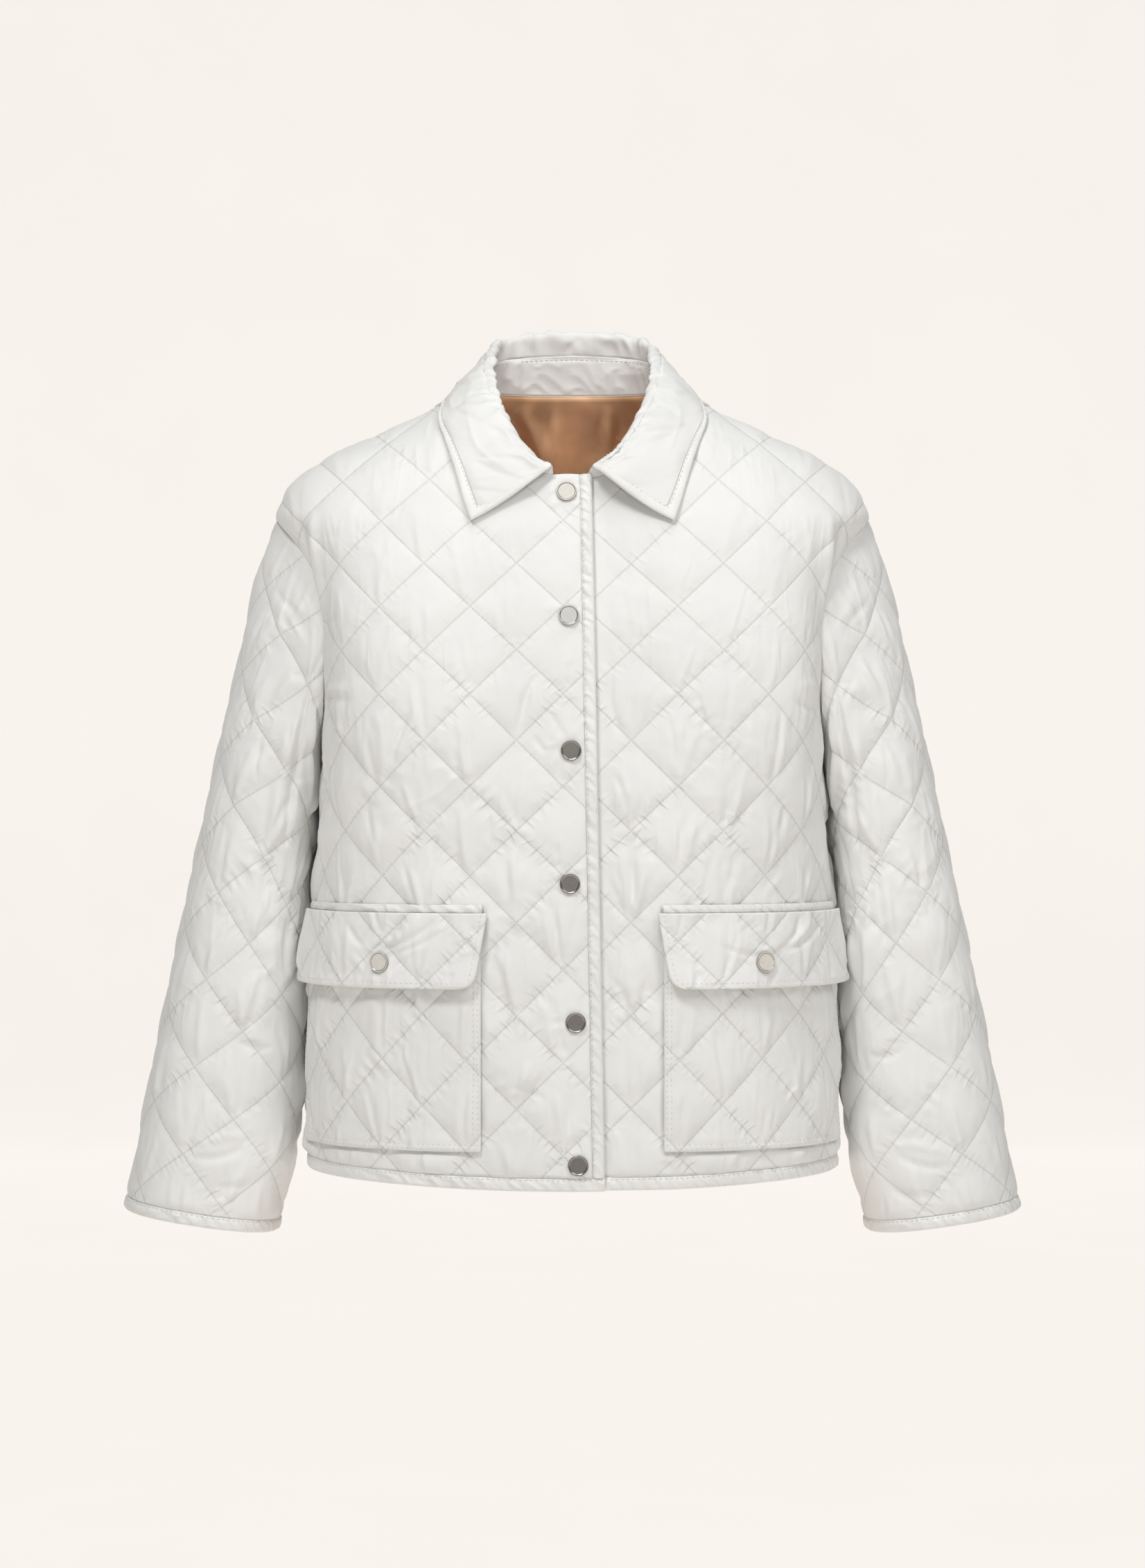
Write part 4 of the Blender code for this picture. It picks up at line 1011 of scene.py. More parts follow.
def started(name, roughness, metallic=0.0, sheen=0.0):
    made = bpy.data.materials.new(name)
    made.use_nodes = True
    tree = made.node_tree
    shader = tree.nodes["Principled BSDF"]
    shader.inputs["Roughness"].default_value = roughness
    shader.inputs["Metallic"].default_value = metallic
    if sheen:
        shader.inputs["Sheen Weight"].default_value = sheen
        shader.inputs["Sheen Roughness"].default_value = 0.45
    place = tree.nodes.new("ShaderNodeTexCoord").outputs["Object"]
    return made, tree, shader, place


def bumped(tree, shader, heights):
    """Chains of height fields in metres, each with its strength, into the shader's normal."""
    normal = None
    for height, strength, depth in heights:
        made = tree.nodes.new("ShaderNodeBump")
        tree.links.new(height, made.inputs["Height"])
        made.inputs["Strength"].default_value = strength
        made.inputs["Distance"].default_value = depth
        if normal is not None:
            tree.links.new(normal, made.inputs["Normal"])
        normal = made.outputs["Normal"]
    tree.links.new(normal, shader.inputs["Normal"])


def ridged(tree, x, y, detail, width):
    """Thin ridges of stretched noise, 0 to 1."""
    place = add_node(tree, "ShaderNodeCombineXYZ", {0: x, 1: y})
    off = sums(tree, "ABSOLUTE", sums(tree, "SUBTRACT", grain(tree, place, 1.0, detail), 0.5))
    return span(tree, off, 0.0, width, 1.0, 0.0)


def quilted_look(name, colour, stitched=True):
    """Fine plain-weave cloth; the stitch lines lie where a lattice coordinate is a whole number."""
    made, tree, shader, place = started(name, 0.70, sheen=0.15)
    base = (*colour, 1.0)
    cloudy_tone_and_painted_shading = grain(tree, place, 9.0, 3.0)
    tone = blended(tree, span(tree, cloudy_tone_and_painted_shading, 0.35, 0.65), (*[c * 0.955 for c in colour], 1.0), base)
    weave = sums(tree, "MULTIPLY", grain(tree, place, 2300.0, 1.0), 1.0)
    crumple = grain(tree, place, 95.0, 3.0, 0.6)
    heights = [(crumple, 0.30, 0.0009), (weave, 0.10, 0.0002)]
    if stitched:
        pattern = add_node(tree, "ShaderNodeUVMap", uv_map="pattern")
        parts = tree.nodes.new("ShaderNodeSeparateXYZ")
        tree.links.new(pattern, parts.inputs[0])
        u, v = parts.outputs[0], parts.outputs[1]
        near = []
        threads = []
        level = sums(tree, "ADD", u, v)
        upright = sums(tree, "SUBTRACT", u, v)
        patches = span(tree, grain(tree, pattern, 0.9, 1.0), 0.42, 0.60)
        long = ridged(tree, sums(tree, "MULTIPLY", level, 2.3), sums(tree, "MULTIPLY", upright, 0.45),
                      1.2, 0.13)
        long = sums(tree, "MULTIPLY", long, patches)
        gathers = None
        for across, along in ((u, v), (v, u)):
            away = sums(tree, "MULTIPLY", sums(tree, "PINGPONG", across, 0.5), STITCH_SPACING * 1000)
            beat = sums(tree, "PINGPONG", sums(tree, "MULTIPLY", along, STITCH_SPACING / STITCH_LENGTH), 0.5)
            dash = span(tree, beat, 0.09, 0.15)
            thread = sums(tree, "MULTIPLY", span(tree, away, 0.34, 0.16), dash)
            near.append(away)
            threads.append(thread)
            pucker = ridged(tree, sums(tree, "MULTIPLY", along, 4.8), sums(tree, "MULTIPLY", across, 1.3),
                            1.0, 0.14)
            strong = span(tree, add_node(tree, "ShaderNodeTexNoise", {
                "Vector": add_node(tree, "ShaderNodeCombineXYZ", {0: along, 1: sums(tree, "ROUND", across)}),
                "Scale": 0.8, "Detail": 0.0}), 0.40, 0.62, 0.25, 1.0)
            pucker = sums(tree, "MULTIPLY", pucker, span(tree, away, 11.0, 1.0))
            pucker = sums(tree, "MULTIPLY", pucker, strong)
            gathers = pucker if gathers is None else sums(tree, "MAXIMUM", gathers, pucker)
        nearest = sums(tree, "MINIMUM", *near)
        thread = sums(tree, "MAXIMUM", *threads)
        furrow = span(tree, nearest, 0.0, 1.3)
        # painted shade: the cloth colour darkens towards each stitch line, where the groove lies in shade
        shade = span(tree, nearest, 0.2, 1.4, 0.955, 1.0)
        grey = add_node(tree, "ShaderNodeCombineXYZ", {0: shade, 1: shade, 2: shade})
        tone = blended(tree, 1.0, tone, grey, "MULTIPLY")
        # The stitch dashes are painted darker: partly the thread's own tone, partly painted shade of the
        # dimples the stitches press into the cloth.
        tone = blended(tree, sums(tree, "MULTIPLY", thread, 0.55), tone, (*[c * 0.62 for c in colour], 1.0))
        levels = tree.nodes.new("ShaderNodeSeparateXYZ")
        tree.links.new(place, levels.inputs[0])
        gathers = sums(tree, "MULTIPLY", gathers, span(tree, levels.outputs[2], -0.12, -0.40, 0.45, 1.0))
        heights = [(furrow, 0.40, 0.0008), (gathers, 0.85, 0.0009), (long, 0.35, 0.0010),
                   (thread, 0.5, 0.0003)] + heights
    tree.links.new(tone, shader.inputs["Base Color"])
    rough = span(tree, grain(tree, place, 60.0), 0.3, 0.7, 0.64, 0.78)
    tree.links.new(rough, shader.inputs["Roughness"])
    bumped(tree, shader, heights)
    return made


def trim_look(name, colour, gathered=0.60):
    """Plain folded trim: a close twill with a little more sheen than the quilted cloth."""
    made, tree, shader, place = started(name, 0.58, sheen=0.25)
    twill = add_node(tree, "ShaderNodeTexWave",
                     {"Vector": place, "Scale": 380.0, "Distortion": 1.5, "Detail": 1.0},
                     bands_direction="DIAGONAL")
    cloudy_tone_and_painted_shading = span(tree, grain(tree, place, 30.0, 3.0), 0.35, 0.65)
    tone = blended(tree, cloudy_tone_and_painted_shading, (*[c * 0.94 for c in colour], 1.0), (*colour, 1.0))
    tree.links.new(tone, shader.inputs["Base Color"])
    tree.links.new(span(tree, grain(tree, place, 80.0), 0.3, 0.7, 0.52, 0.66), shader.inputs["Roughness"])
    gathers = add_node(tree, "ShaderNodeTexWave",
                       {"Vector": place, "Scale": 62.0, "Distortion": 5.0, "Detail": 2.0},
                       bands_direction="DIAGONAL")
    bumped(tree, shader, [(gathers, gathered, 0.0010), (grain(tree, place, 210.0, 3.0), 0.35, 0.0007),
                          (twill, 0.12, 0.0002)])
    return made


def satin_look(name, colour):
    """Smooth satin lining with drifting highlights; patches of painted shade and painted highlight in its
    colour follow its bumps.
    """
    made, tree, shader, place = started(name, 0.40, sheen=0.20)
    # painted shade and painted highlight: the lining colour drifts between darker and lighter patches on the
    # same noise as its bumps, standing in for the shading of its folds
    cloudy_tone_and_painted_shading = span(tree, grain(tree, place, 24.0, 2.0), 0.3, 0.7)
    painted_fold_shade = (*[c * 0.70 for c in colour], 1.0)
    painted_highlight = (*[min(1, c * 1.12) for c in colour], 1.0)
    tone = blended(tree, cloudy_tone_and_painted_shading, painted_fold_shade, painted_highlight)
    tree.links.new(tone, shader.inputs["Base Color"])
    tree.links.new(span(tree, grain(tree, place, 40.0), 0.3, 0.7, 0.28, 0.42), shader.inputs["Roughness"])
    bumped(tree, shader, [(grain(tree, place, 24.0, 1.0), 0.8, 0.0060),
                          (grain(tree, place, 1900.0, 1.0), 0.08, 0.0002)])
    return made


def metal_look(name, colour, roughness, metallic=1.0):
    """Snap cap, plated or enamelled, faintly worn."""
    made, tree, shader, place = started(name, roughness, metallic=metallic)
    worn = span(tree, grain(tree, place, 420.0, 4.0), 0.4, 0.7)
    tone = blended(tree, worn, (*colour, 1.0), (*[c * 0.93 for c in colour], 1.0))
    tree.links.new(tone, shader.inputs["Base Color"])
    tree.links.new(span(tree, grain(tree, place, 900.0, 3.0), 0.3, 0.7, roughness - 0.03, roughness + 0.05),
                   shader.inputs["Roughness"])
    bumped(tree, shader, [(grain(tree, place, 1500.0, 2.0), 0.06, 0.00003)])
    return made


def look(name):
    """The finish of that name, made once."""
    found = bpy.data.materials.get(name)
    if found:
        return found
    kit = bpy.context.scene.jacket
    makers = {
        "quilted cloth": lambda: quilted_look("quilted cloth", tuple(kit.shell_colour)),
        "plain cloth": lambda: quilted_look("plain cloth", tuple(kit.shell_colour), stitched=False),
        "folded trim": lambda: trim_look("folded trim", tuple(kit.trim_colour), 0.60),
        "smooth trim": lambda: trim_look("smooth trim", tuple(kit.trim_colour), 0.08),
        "thread": lambda: trim_look("thread", tuple(c * 0.86 for c in kit.trim_colour)),
        # Cap rims: darker than the pale and silver caps as painted shade, lighter than the grey caps as a
        # painted highlight.
        "pale cap rim painted shade and highlight": lambda: metal_look("pale cap rim painted shade and highlight", linear("A39E96"), 0.30, metallic=0.6),
        "silver cap": lambda: metal_look("silver cap", linear("CBCBC8"), 0.26, metallic=0.0),
        "silver cap rim painted shade and highlight": lambda: metal_look("silver cap rim painted shade and highlight", linear("9C9A96"), 0.28),
        "grey cap rim painted shade and highlight": lambda: metal_look("grey cap rim painted shade and highlight", linear("A9A6A1"), 0.28),
        "satin": lambda: satin_look("satin", tuple(kit.lining_colour)),
        "pale cap": lambda: metal_look("pale cap", linear("D8D4CC"), 0.34, metallic=0.0),
        "grey cap": lambda: metal_look("grey cap", linear("7C7974"), 0.36),
    }
    return makers[name]()


# ---------------------------------------------------------------- creases, placed one by one
# Each: start x, start z, end x, end z, bow, half width, height; x is the arc from the centre line
FRONT_CREASES = {
    "right": (
        (0.1990, -0.098, 0.2065, -0.195, 0.002, 0.0060, 0.0032),
        (0.2150, -0.104, 0.2165, -0.170, 0.000, 0.0060, -0.0032),
        (0.2053, -0.187, 0.1800, -0.179, 0.000, 0.0025, -0.0014),
        (0.2140, -0.243, 0.1660, -0.2415, -0.003, 0.0035, -0.0022),
        (0.2060, -0.233, 0.1700, -0.231, 0.003, 0.0040, 0.0014),
        (0.1188, -0.2508, 0.1344, -0.292, 0.002, 0.0022, -0.0018),
        (0.1140, -0.250, 0.1285, -0.292, 0.002, 0.0026, 0.0012),
        (0.0617, -0.3176, 0.0563, -0.356, 0.0015, 0.0020, -0.0016),
        (0.0240, -0.220, 0.0374, -0.2671, 0.004, 0.0024, -0.0017),
        (0.0185, -0.2475, 0.0052, -0.2698, 0.0, 0.0018, -0.0014),
        (0.0287, -0.2669, 0.0180, -0.2810, 0.001, 0.0022, -0.0016),
        (0.1545, -0.3176, 0.1454, -0.3505, 0.001, 0.0020, -0.0014),
        (0.1016, -0.356, 0.1053, -0.3907, 0.001, 0.0020, -0.0014),
        (0.0204, -0.5132, 0.0387, -0.5571, 0.003, 0.0022, -0.0016),
        (0.0310, -0.5050, 0.0480, -0.5350, -0.003, 0.0026, 0.0016),
        (0.0180, -0.5350, 0.0460, -0.5250, 0.002, 0.0022, -0.0014),
    ),
    "left": (
        (0.1960, -0.098, 0.2060, -0.190, 0.002, 0.0060, 0.0030),
        (0.2115, -0.104, 0.2155, -0.168, 0.000, 0.0060, -0.0030),
        (0.0200, -0.2051, 0.0273, -0.2315, 0.001, 0.0020, -0.0016),
        (0.0273, -0.2315, 0.0363, -0.2671, -0.002, 0.0020, -0.0016),
        (0.0309, -0.2956, 0.0399, -0.3231, 0.001, 0.0020, -0.0016),
        (0.0255, -0.3706, 0.0381, -0.4017, 0.001, 0.0022, -0.0016),
        (0.0700, -0.2543, 0.0744, -0.2901, 0.001, 0.0020, -0.0015),
        (0.0435, -0.356, 0.0453, -0.3907, 0.000, 0.0022, -0.0016),
        (0.0904, -0.2337, 0.0989, -0.2633, -0.001, 0.0020, -0.0015),
        (0.0763, -0.3121, 0.0782, -0.356, 0.001, 0.0020, -0.0014),
        (0.1024, -0.356, 0.0968, -0.3907, -0.001, 0.0020, -0.0014),
        (0.2031, -0.2443, 0.1689, -0.2419, 0.003, 0.0035, -0.0020),
        (0.2000, -0.2340, 0.1700, -0.2320, -0.003, 0.0040, 0.0013),
        (0.0291, -0.4455, 0.0420, -0.4700, 0.002, 0.0022, -0.0014),
    ),
}
BACK_CREASES = (
    (0.2140, -0.106, 0.2060, -0.200, -0.002, 0.0070, 0.0028),
    (-0.2120, -0.106, -0.2070, -0.195, 0.002, 0.0070, 0.0030),
    (0.1960, -0.235, 0.1600, -0.242, 0.003, 0.0035, -0.0020),
    (-0.2010, -0.246, -0.1640, -0.240, -0.003, 0.0035, -0.0018),
    (0.1200, -0.2500, 0.1330, -0.2900, 0.002, 0.0022, -0.0017),
    (-0.0900, -0.2600, -0.0980, -0.3000, 0.002, 0.0022, -0.0016),
    (0.0300, -0.3300, 0.0360, -0.3700, -0.002, 0.0022, -0.0016),
    (-0.0400, -0.4300, -0.0320, -0.4650, 0.002, 0.0024, -0.0015),
    (0.0900, -0.4900, 0.1050, -0.5300, 0.002, 0.0024, -0.0015),
    (-0.1350, -0.3900, -0.1280, -0.4300, -0.002, 0.0022, -0.0015),
)
# For a sleeve x is the arc forward of its outer line and z the way down from the shoulder, in metres
SLEEVE_CREASES = (
    (0.1430, 0.118, 0.1500, 0.245, -0.006, 0.0065, -0.0045),
    (0.1400, 0.240, 0.1340, 0.300, 0.002, 0.0060, -0.0022),
    (0.1720, 0.135, 0.1980, 0.205, 0.003, 0.0070, 0.0030),
    (0.1280, 0.150, 0.1320, 0.230, -0.003, 0.0080, 0.0018),
    (0.0609, 0.0552, 0.0944, 0.0697, 0.002, 0.0030, -0.0010),
    (0.0750, 0.045, 0.1100, 0.075, 0.003, 0.0050, 0.0006),
    (0.1104, 0.1156, 0.1386, 0.1120, 0.002, 0.0030, -0.0012),
    (0.0981, 0.1646, 0.1050, 0.2017, 0.002, 0.0025, -0.0016),
    (0.1302, 0.2539, 0.1223, 0.3133, 0.002, 0.0040, -0.0018),
    (0.1111, 0.3953, 0.1411, 0.3951, 0.003, 0.0028, -0.0020),
    (0.1598, 0.2974, 0.1496, 0.3444, 0.003, 0.0060, -0.0030),
    (0.0850, 0.4885, 0.1254, 0.4723, 0.004, 0.0030, -0.0020),
    (0.0900, 0.478, 0.1280, 0.465, -0.003, 0.0035, 0.0018),
    (0.1055, 0.506, 0.1346, 0.4972, 0.003, 0.0030, -0.0018),
    (-0.1400, 0.120, -0.1500, 0.235, 0.006, 0.0065, -0.0040),
    (-0.1700, 0.140, -0.1900, 0.210, -0.003, 0.0070, 0.0026),
    (-0.0900, 0.160, -0.1000, 0.200, 0.002, 0.0026, -0.0016),
    (-0.1150, 0.392, -0.1450, 0.400, -0.003, 0.0028, -0.0018),
    (-0.0850, 0.480, -0.1200, 0.470, -0.003, 0.0030, -0.0018),
    (-0.1550, 0.300, -0.1500, 0.350, 0.003, 0.0060, -0.0026),
)


COLLAR_CREASES = (
    (-0.200, 0.060, -0.150, 0.030, 0.004, 0.006, -0.0012),
    (0.200, 0.060, 0.150, 0.030, -0.004, 0.006, -0.0012),
)
FLAP_WAVES = (
    (0.060, -0.460, 0.060, -0.400, 0.0, 0.012, 0.0008),
)
FLAP_CREASES = {
    "right": (
        (0.1480, -0.4250, 0.1250, -0.3985, 0.0050, 0.0026, -0.0034),
        (0.1440, -0.4260, 0.0980, -0.4010, 0.0040, 0.0024, -0.0024),
        (0.1420, -0.4215, 0.1110, -0.3985, 0.0040, 0.0028, 0.0022),
        (0.1410, -0.4300, 0.0900, -0.4080, 0.0030, 0.0022, -0.0015),
        (0.1700, -0.4040, 0.1530, -0.4230, 0.0020, 0.0026, -0.0018),
        (0.1500, -0.4400, 0.1560, -0.4490, 0.0010, 0.0022, -0.0014),
        (0.0780, -0.4180, 0.0700, -0.4330, -0.0020, 0.0022, -0.0015),
        (0.0850, -0.4400, 0.0880, -0.4500, 0.0010, 0.0020, -0.0014),
        (0.1050, -0.4390, 0.1030, -0.4500, 0.0010, 0.0020, -0.0013),
        (0.1950, -0.4350, 0.1900, -0.4470, 0.0010, 0.0024, -0.0012),
    ),
    "left": (
        (0.1500, -0.4250, 0.1720, -0.3995, -0.0050, 0.0026, -0.0030),
        (0.1530, -0.4270, 0.1980, -0.4040, -0.0030, 0.0024, -0.0020),
        (0.1540, -0.4220, 0.1850, -0.3990, -0.0040, 0.0028, 0.0020),
        (0.1440, -0.4240, 0.1230, -0.4030, 0.0030, 0.0024, -0.0020),
        (0.1400, -0.4300, 0.1050, -0.4200, 0.0020, 0.0022, -0.0014),
        (0.1470, -0.4400, 0.1420, -0.4490, 0.0010, 0.0022, -0.0014),
        (0.0900, -0.4390, 0.0880, -0.4500, 0.0010, 0.0020, -0.0014),
        (0.2000, -0.4370, 0.2020, -0.4480, 0.0010, 0.0022, -0.0012),
    ),
}
LINING_LOW_Z = -0.1500
LINING_FOLD_DEPTH = 5.0    # times the heights in the table
LINING_FOLDS = (
    (-0.045, -0.002, -0.020, -0.070, 0.006, 0.007, 0.0022),
    (-0.015, -0.004, 0.010, -0.080, -0.006, 0.008, 0.0018),
    (0.030, -0.002, 0.020, -0.070, 0.005, 0.007, 0.0024),
    (0.055, -0.010, 0.010, -0.060, 0.008, 0.006, 0.0016),
)
POCKET_LATTICE = (0.1430, -0.5052, 0.0646, 0.0668)
FLAP_LATTICE = (0.1400, -0.4180, 0.0640, 0.0640)


# ---------------------------------------------------------------- operators
class JacketSettings(bpy.types.PropertyGroup):
    """Sizes and colours of the jacket's looks."""

    rise: FloatProperty(name="Quilting rise", description="Height of the wadding between stitch lines",
                        default=0.0026, min=0.0, max=0.006, unit="LENGTH", precision=4)
    sink: FloatProperty(name="Stitch depth", description="How far the stitch lines lie under the plain form",
                        default=0.0010, min=0.0, max=0.002, unit="LENGTH", precision=4)
    shell_colour: FloatVectorProperty(name="Shell", description="Colour of the quilted cloth", size=3,
                                      subtype="COLOR", min=0, max=1, default=linear("E8E8E6"))
    trim_colour: FloatVectorProperty(name="Trim", description="Colour of bindings and strips", size=3,
                                     subtype="COLOR", min=0, max=1, default=linear("E9E9E6"))
    lining_colour: FloatVectorProperty(name="Lining", description="Colour of the satin lining", size=3,
                                       subtype="COLOR", min=0, max=1, default=linear("F0C49A"))
    backdrop_colour: FloatVectorProperty(name="Backdrop", description="Colour of floor and backdrop", size=3,
                                         subtype="COLOR", min=0, max=1, default=linear("F8F3ED"))


def snap_spots(side, nodes):
    """Where the press studs sit: arc from the centre line and height."""
    spots = []
    for node in nodes:
        low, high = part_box(node)
        x, z = (low[0] + high[0]) / 2, (low[2] + high[2]) / 2
        arcs = np.linspace(0, 0.24, 481)
        level = np.full(481, z)
        across = torso(FRONT_HALF.angle(arcs / FRONT_HALF.total(level), level), level)
        outward = -x if side == "right" else x
        spots.append((math.copysign(np.interp(abs(x), across[:, 0], arcs), outward), z))
    return spots


def pressed(height, x, z, spots, level, seed, gather=0.0012):
    """The relief pressed flat under each press stud, with small gathers running out from it."""
    for number, (x0, z0) in enumerate(spots):
        away = np.hypot(x - x0, z - z0)
        turn = np.arctan2(z - z0, x - x0)
        gathers = wrinkles(turn * 2.4 + 0.5 * noise(away / 0.006, turn, seed), away / 0.020, seed + number)
        height = height + gather * gathers * np.exp(-((away - 0.0115) / 0.0070) ** 2)
        flat = np.exp(-(away / 0.0088) ** 4)
        height = height * (1 - flat) + level * flat
    return height


def relief(kit, u, v, seed, to_edge, extra, strength=1.0):
    """Height of a quilted panel over its plain form."""
    raised = quilting(u, v, seed, kit.rise, strength) - kit.sink + extra
    held = 1 - np.exp(-(np.maximum(to_edge, 0) / 0.0034) ** 1.3)
    return -0.0006 + (raised + 0.0006) * held


def below(height):
    """Depth of the lining side under the plain form: it gives way under a deep trough."""
    padded = np.pad(height, 2, mode="edge")
    rows, columns = height.shape
    lowest = np.min([padded[i:i + rows, j:j + columns] for i in (0, 2, 4) for j in (0, 2, 4)], axis=0)
    return np.maximum(SHELL, 0.0018 - lowest)


def body_panel(kit, side):
    panel = Panel(side)
    table = BACK_CREASES if side == "back" else FRONT_CREASES[side]
    extra = creases(panel.x, panel.z, table)
    height = relief(kit, panel.u, panel.v, {"right": 1, "left": 2, "back": 3}[side], panel.to_edge, extra,
                    0.30 + 0.95 * ease((-0.12 - panel.z) / 0.30))
    if side != "back":
        covered = inside(panel.x, POCKET_INNER - 0.005, POCKET_OUTER, 0.005) * inside(
            panel.z, POCKET_BOTTOM_Z - 0.005, STRIP_TOP_Z, 0.005)
        height = height * (1 - covered) - 0.0010 * covered
    across, level = np.abs(panel.points[..., 0]), panel.points[..., 2]
    height = height + 0.0018 * np.exp(-((across - 0.103) / 0.012) ** 2 - ((level + 0.014) / 0.012) ** 2)
    if side == "right":
        spots = snap_spots(side, ["snap_%d" % number for number in range(1, 7)])
        height = pressed(height, panel.x, panel.z, spots, 0.0004, 301)
    if side == "left":
        under = ease((UNDERLAP_FULL + 0.004 - panel.x) / 0.010)
        height = height * (1 - under) - 0.0012 * under
    outer = panel.points + panel.normals * height[..., None]
    inner = (panel.points - panel.normals * below(height)[..., None])[::2, ::2]
    pattern = np.stack([panel.u, panel.v], axis=-1)
    name = "quilted_back" if side == "back" else "quilted_front_" + side
    made = shell(name, outer, inner, [look("quilted cloth"), look("satin")], pattern)
    node = "back" if side == "back" else "front_" + side
    return made, node, area_of(panel.points)


class JACKET_OT_fronts(bpy.types.Operator):
    """Make the two quilted fronts"""

    bl_idname = "jacket.fronts"
    bl_label = "Fronts"

    def execute(self, context):
        for side in ("right", "left"):
            made, node, area = body_panel(context.scene.jacket, side)
            cloth(made, node, (0.335, 0.640), area)
        return {"FINISHED"}


class JACKET_OT_back(bpy.types.Operator):
    """Make the quilted back"""

    bl_idname = "jacket.back"
    bl_label = "Back"

    def execute(self, context):
        made, node, area = body_panel(context.scene.jacket, "back")
        cloth(made, node, (0.600, 0.650), area)
        return {"FINISHED"}


class JACKET_OT_sleeves(bpy.types.Operator):
    """Make the two quilted sleeves"""

    bl_idname = "jacket.sleeves"
    bl_label = "Sleeves"

    def execute(self, context):
        sleeve = Sleeve()
        for side, seed in (("right", 5), ("left", 6)):
            shift = 0.0 if side == "right" else 0.006
            extra = creases(sleeve.arc - shift / 2, sleeve.down - shift, SLEEVE_CREASES)
            strength = 0.32 + 0.83 * ease((np.abs(sleeve.arc) - 0.02) / 0.09)
            height = relief(context.scene.jacket, sleeve.u, sleeve.v, seed, sleeve.to_edge, extra, strength)
            height = height[:, :-1]
            flip = np.array([-1.0 if side == "right" else 1.0, 1.0, 1.0])
            outer = (sleeve.points + sleeve.normals * height[..., None]) * flip
            inner = ((sleeve.points - sleeve.normals * below(height)[..., None]) * flip)[::2, ::2]
            made = shell("quilted_sleeve_" + side, outer, inner, [look("quilted cloth"), look("satin")],
                         np.stack([sleeve.u, sleeve.v], axis=-1), closed=True)
            cloth(made, "sleeve_" + side, (0.480, 0.560), area_of(
                np.concatenate([sleeve.points, sleeve.points[:, :1]], axis=1)))
        return {"FINISHED"}


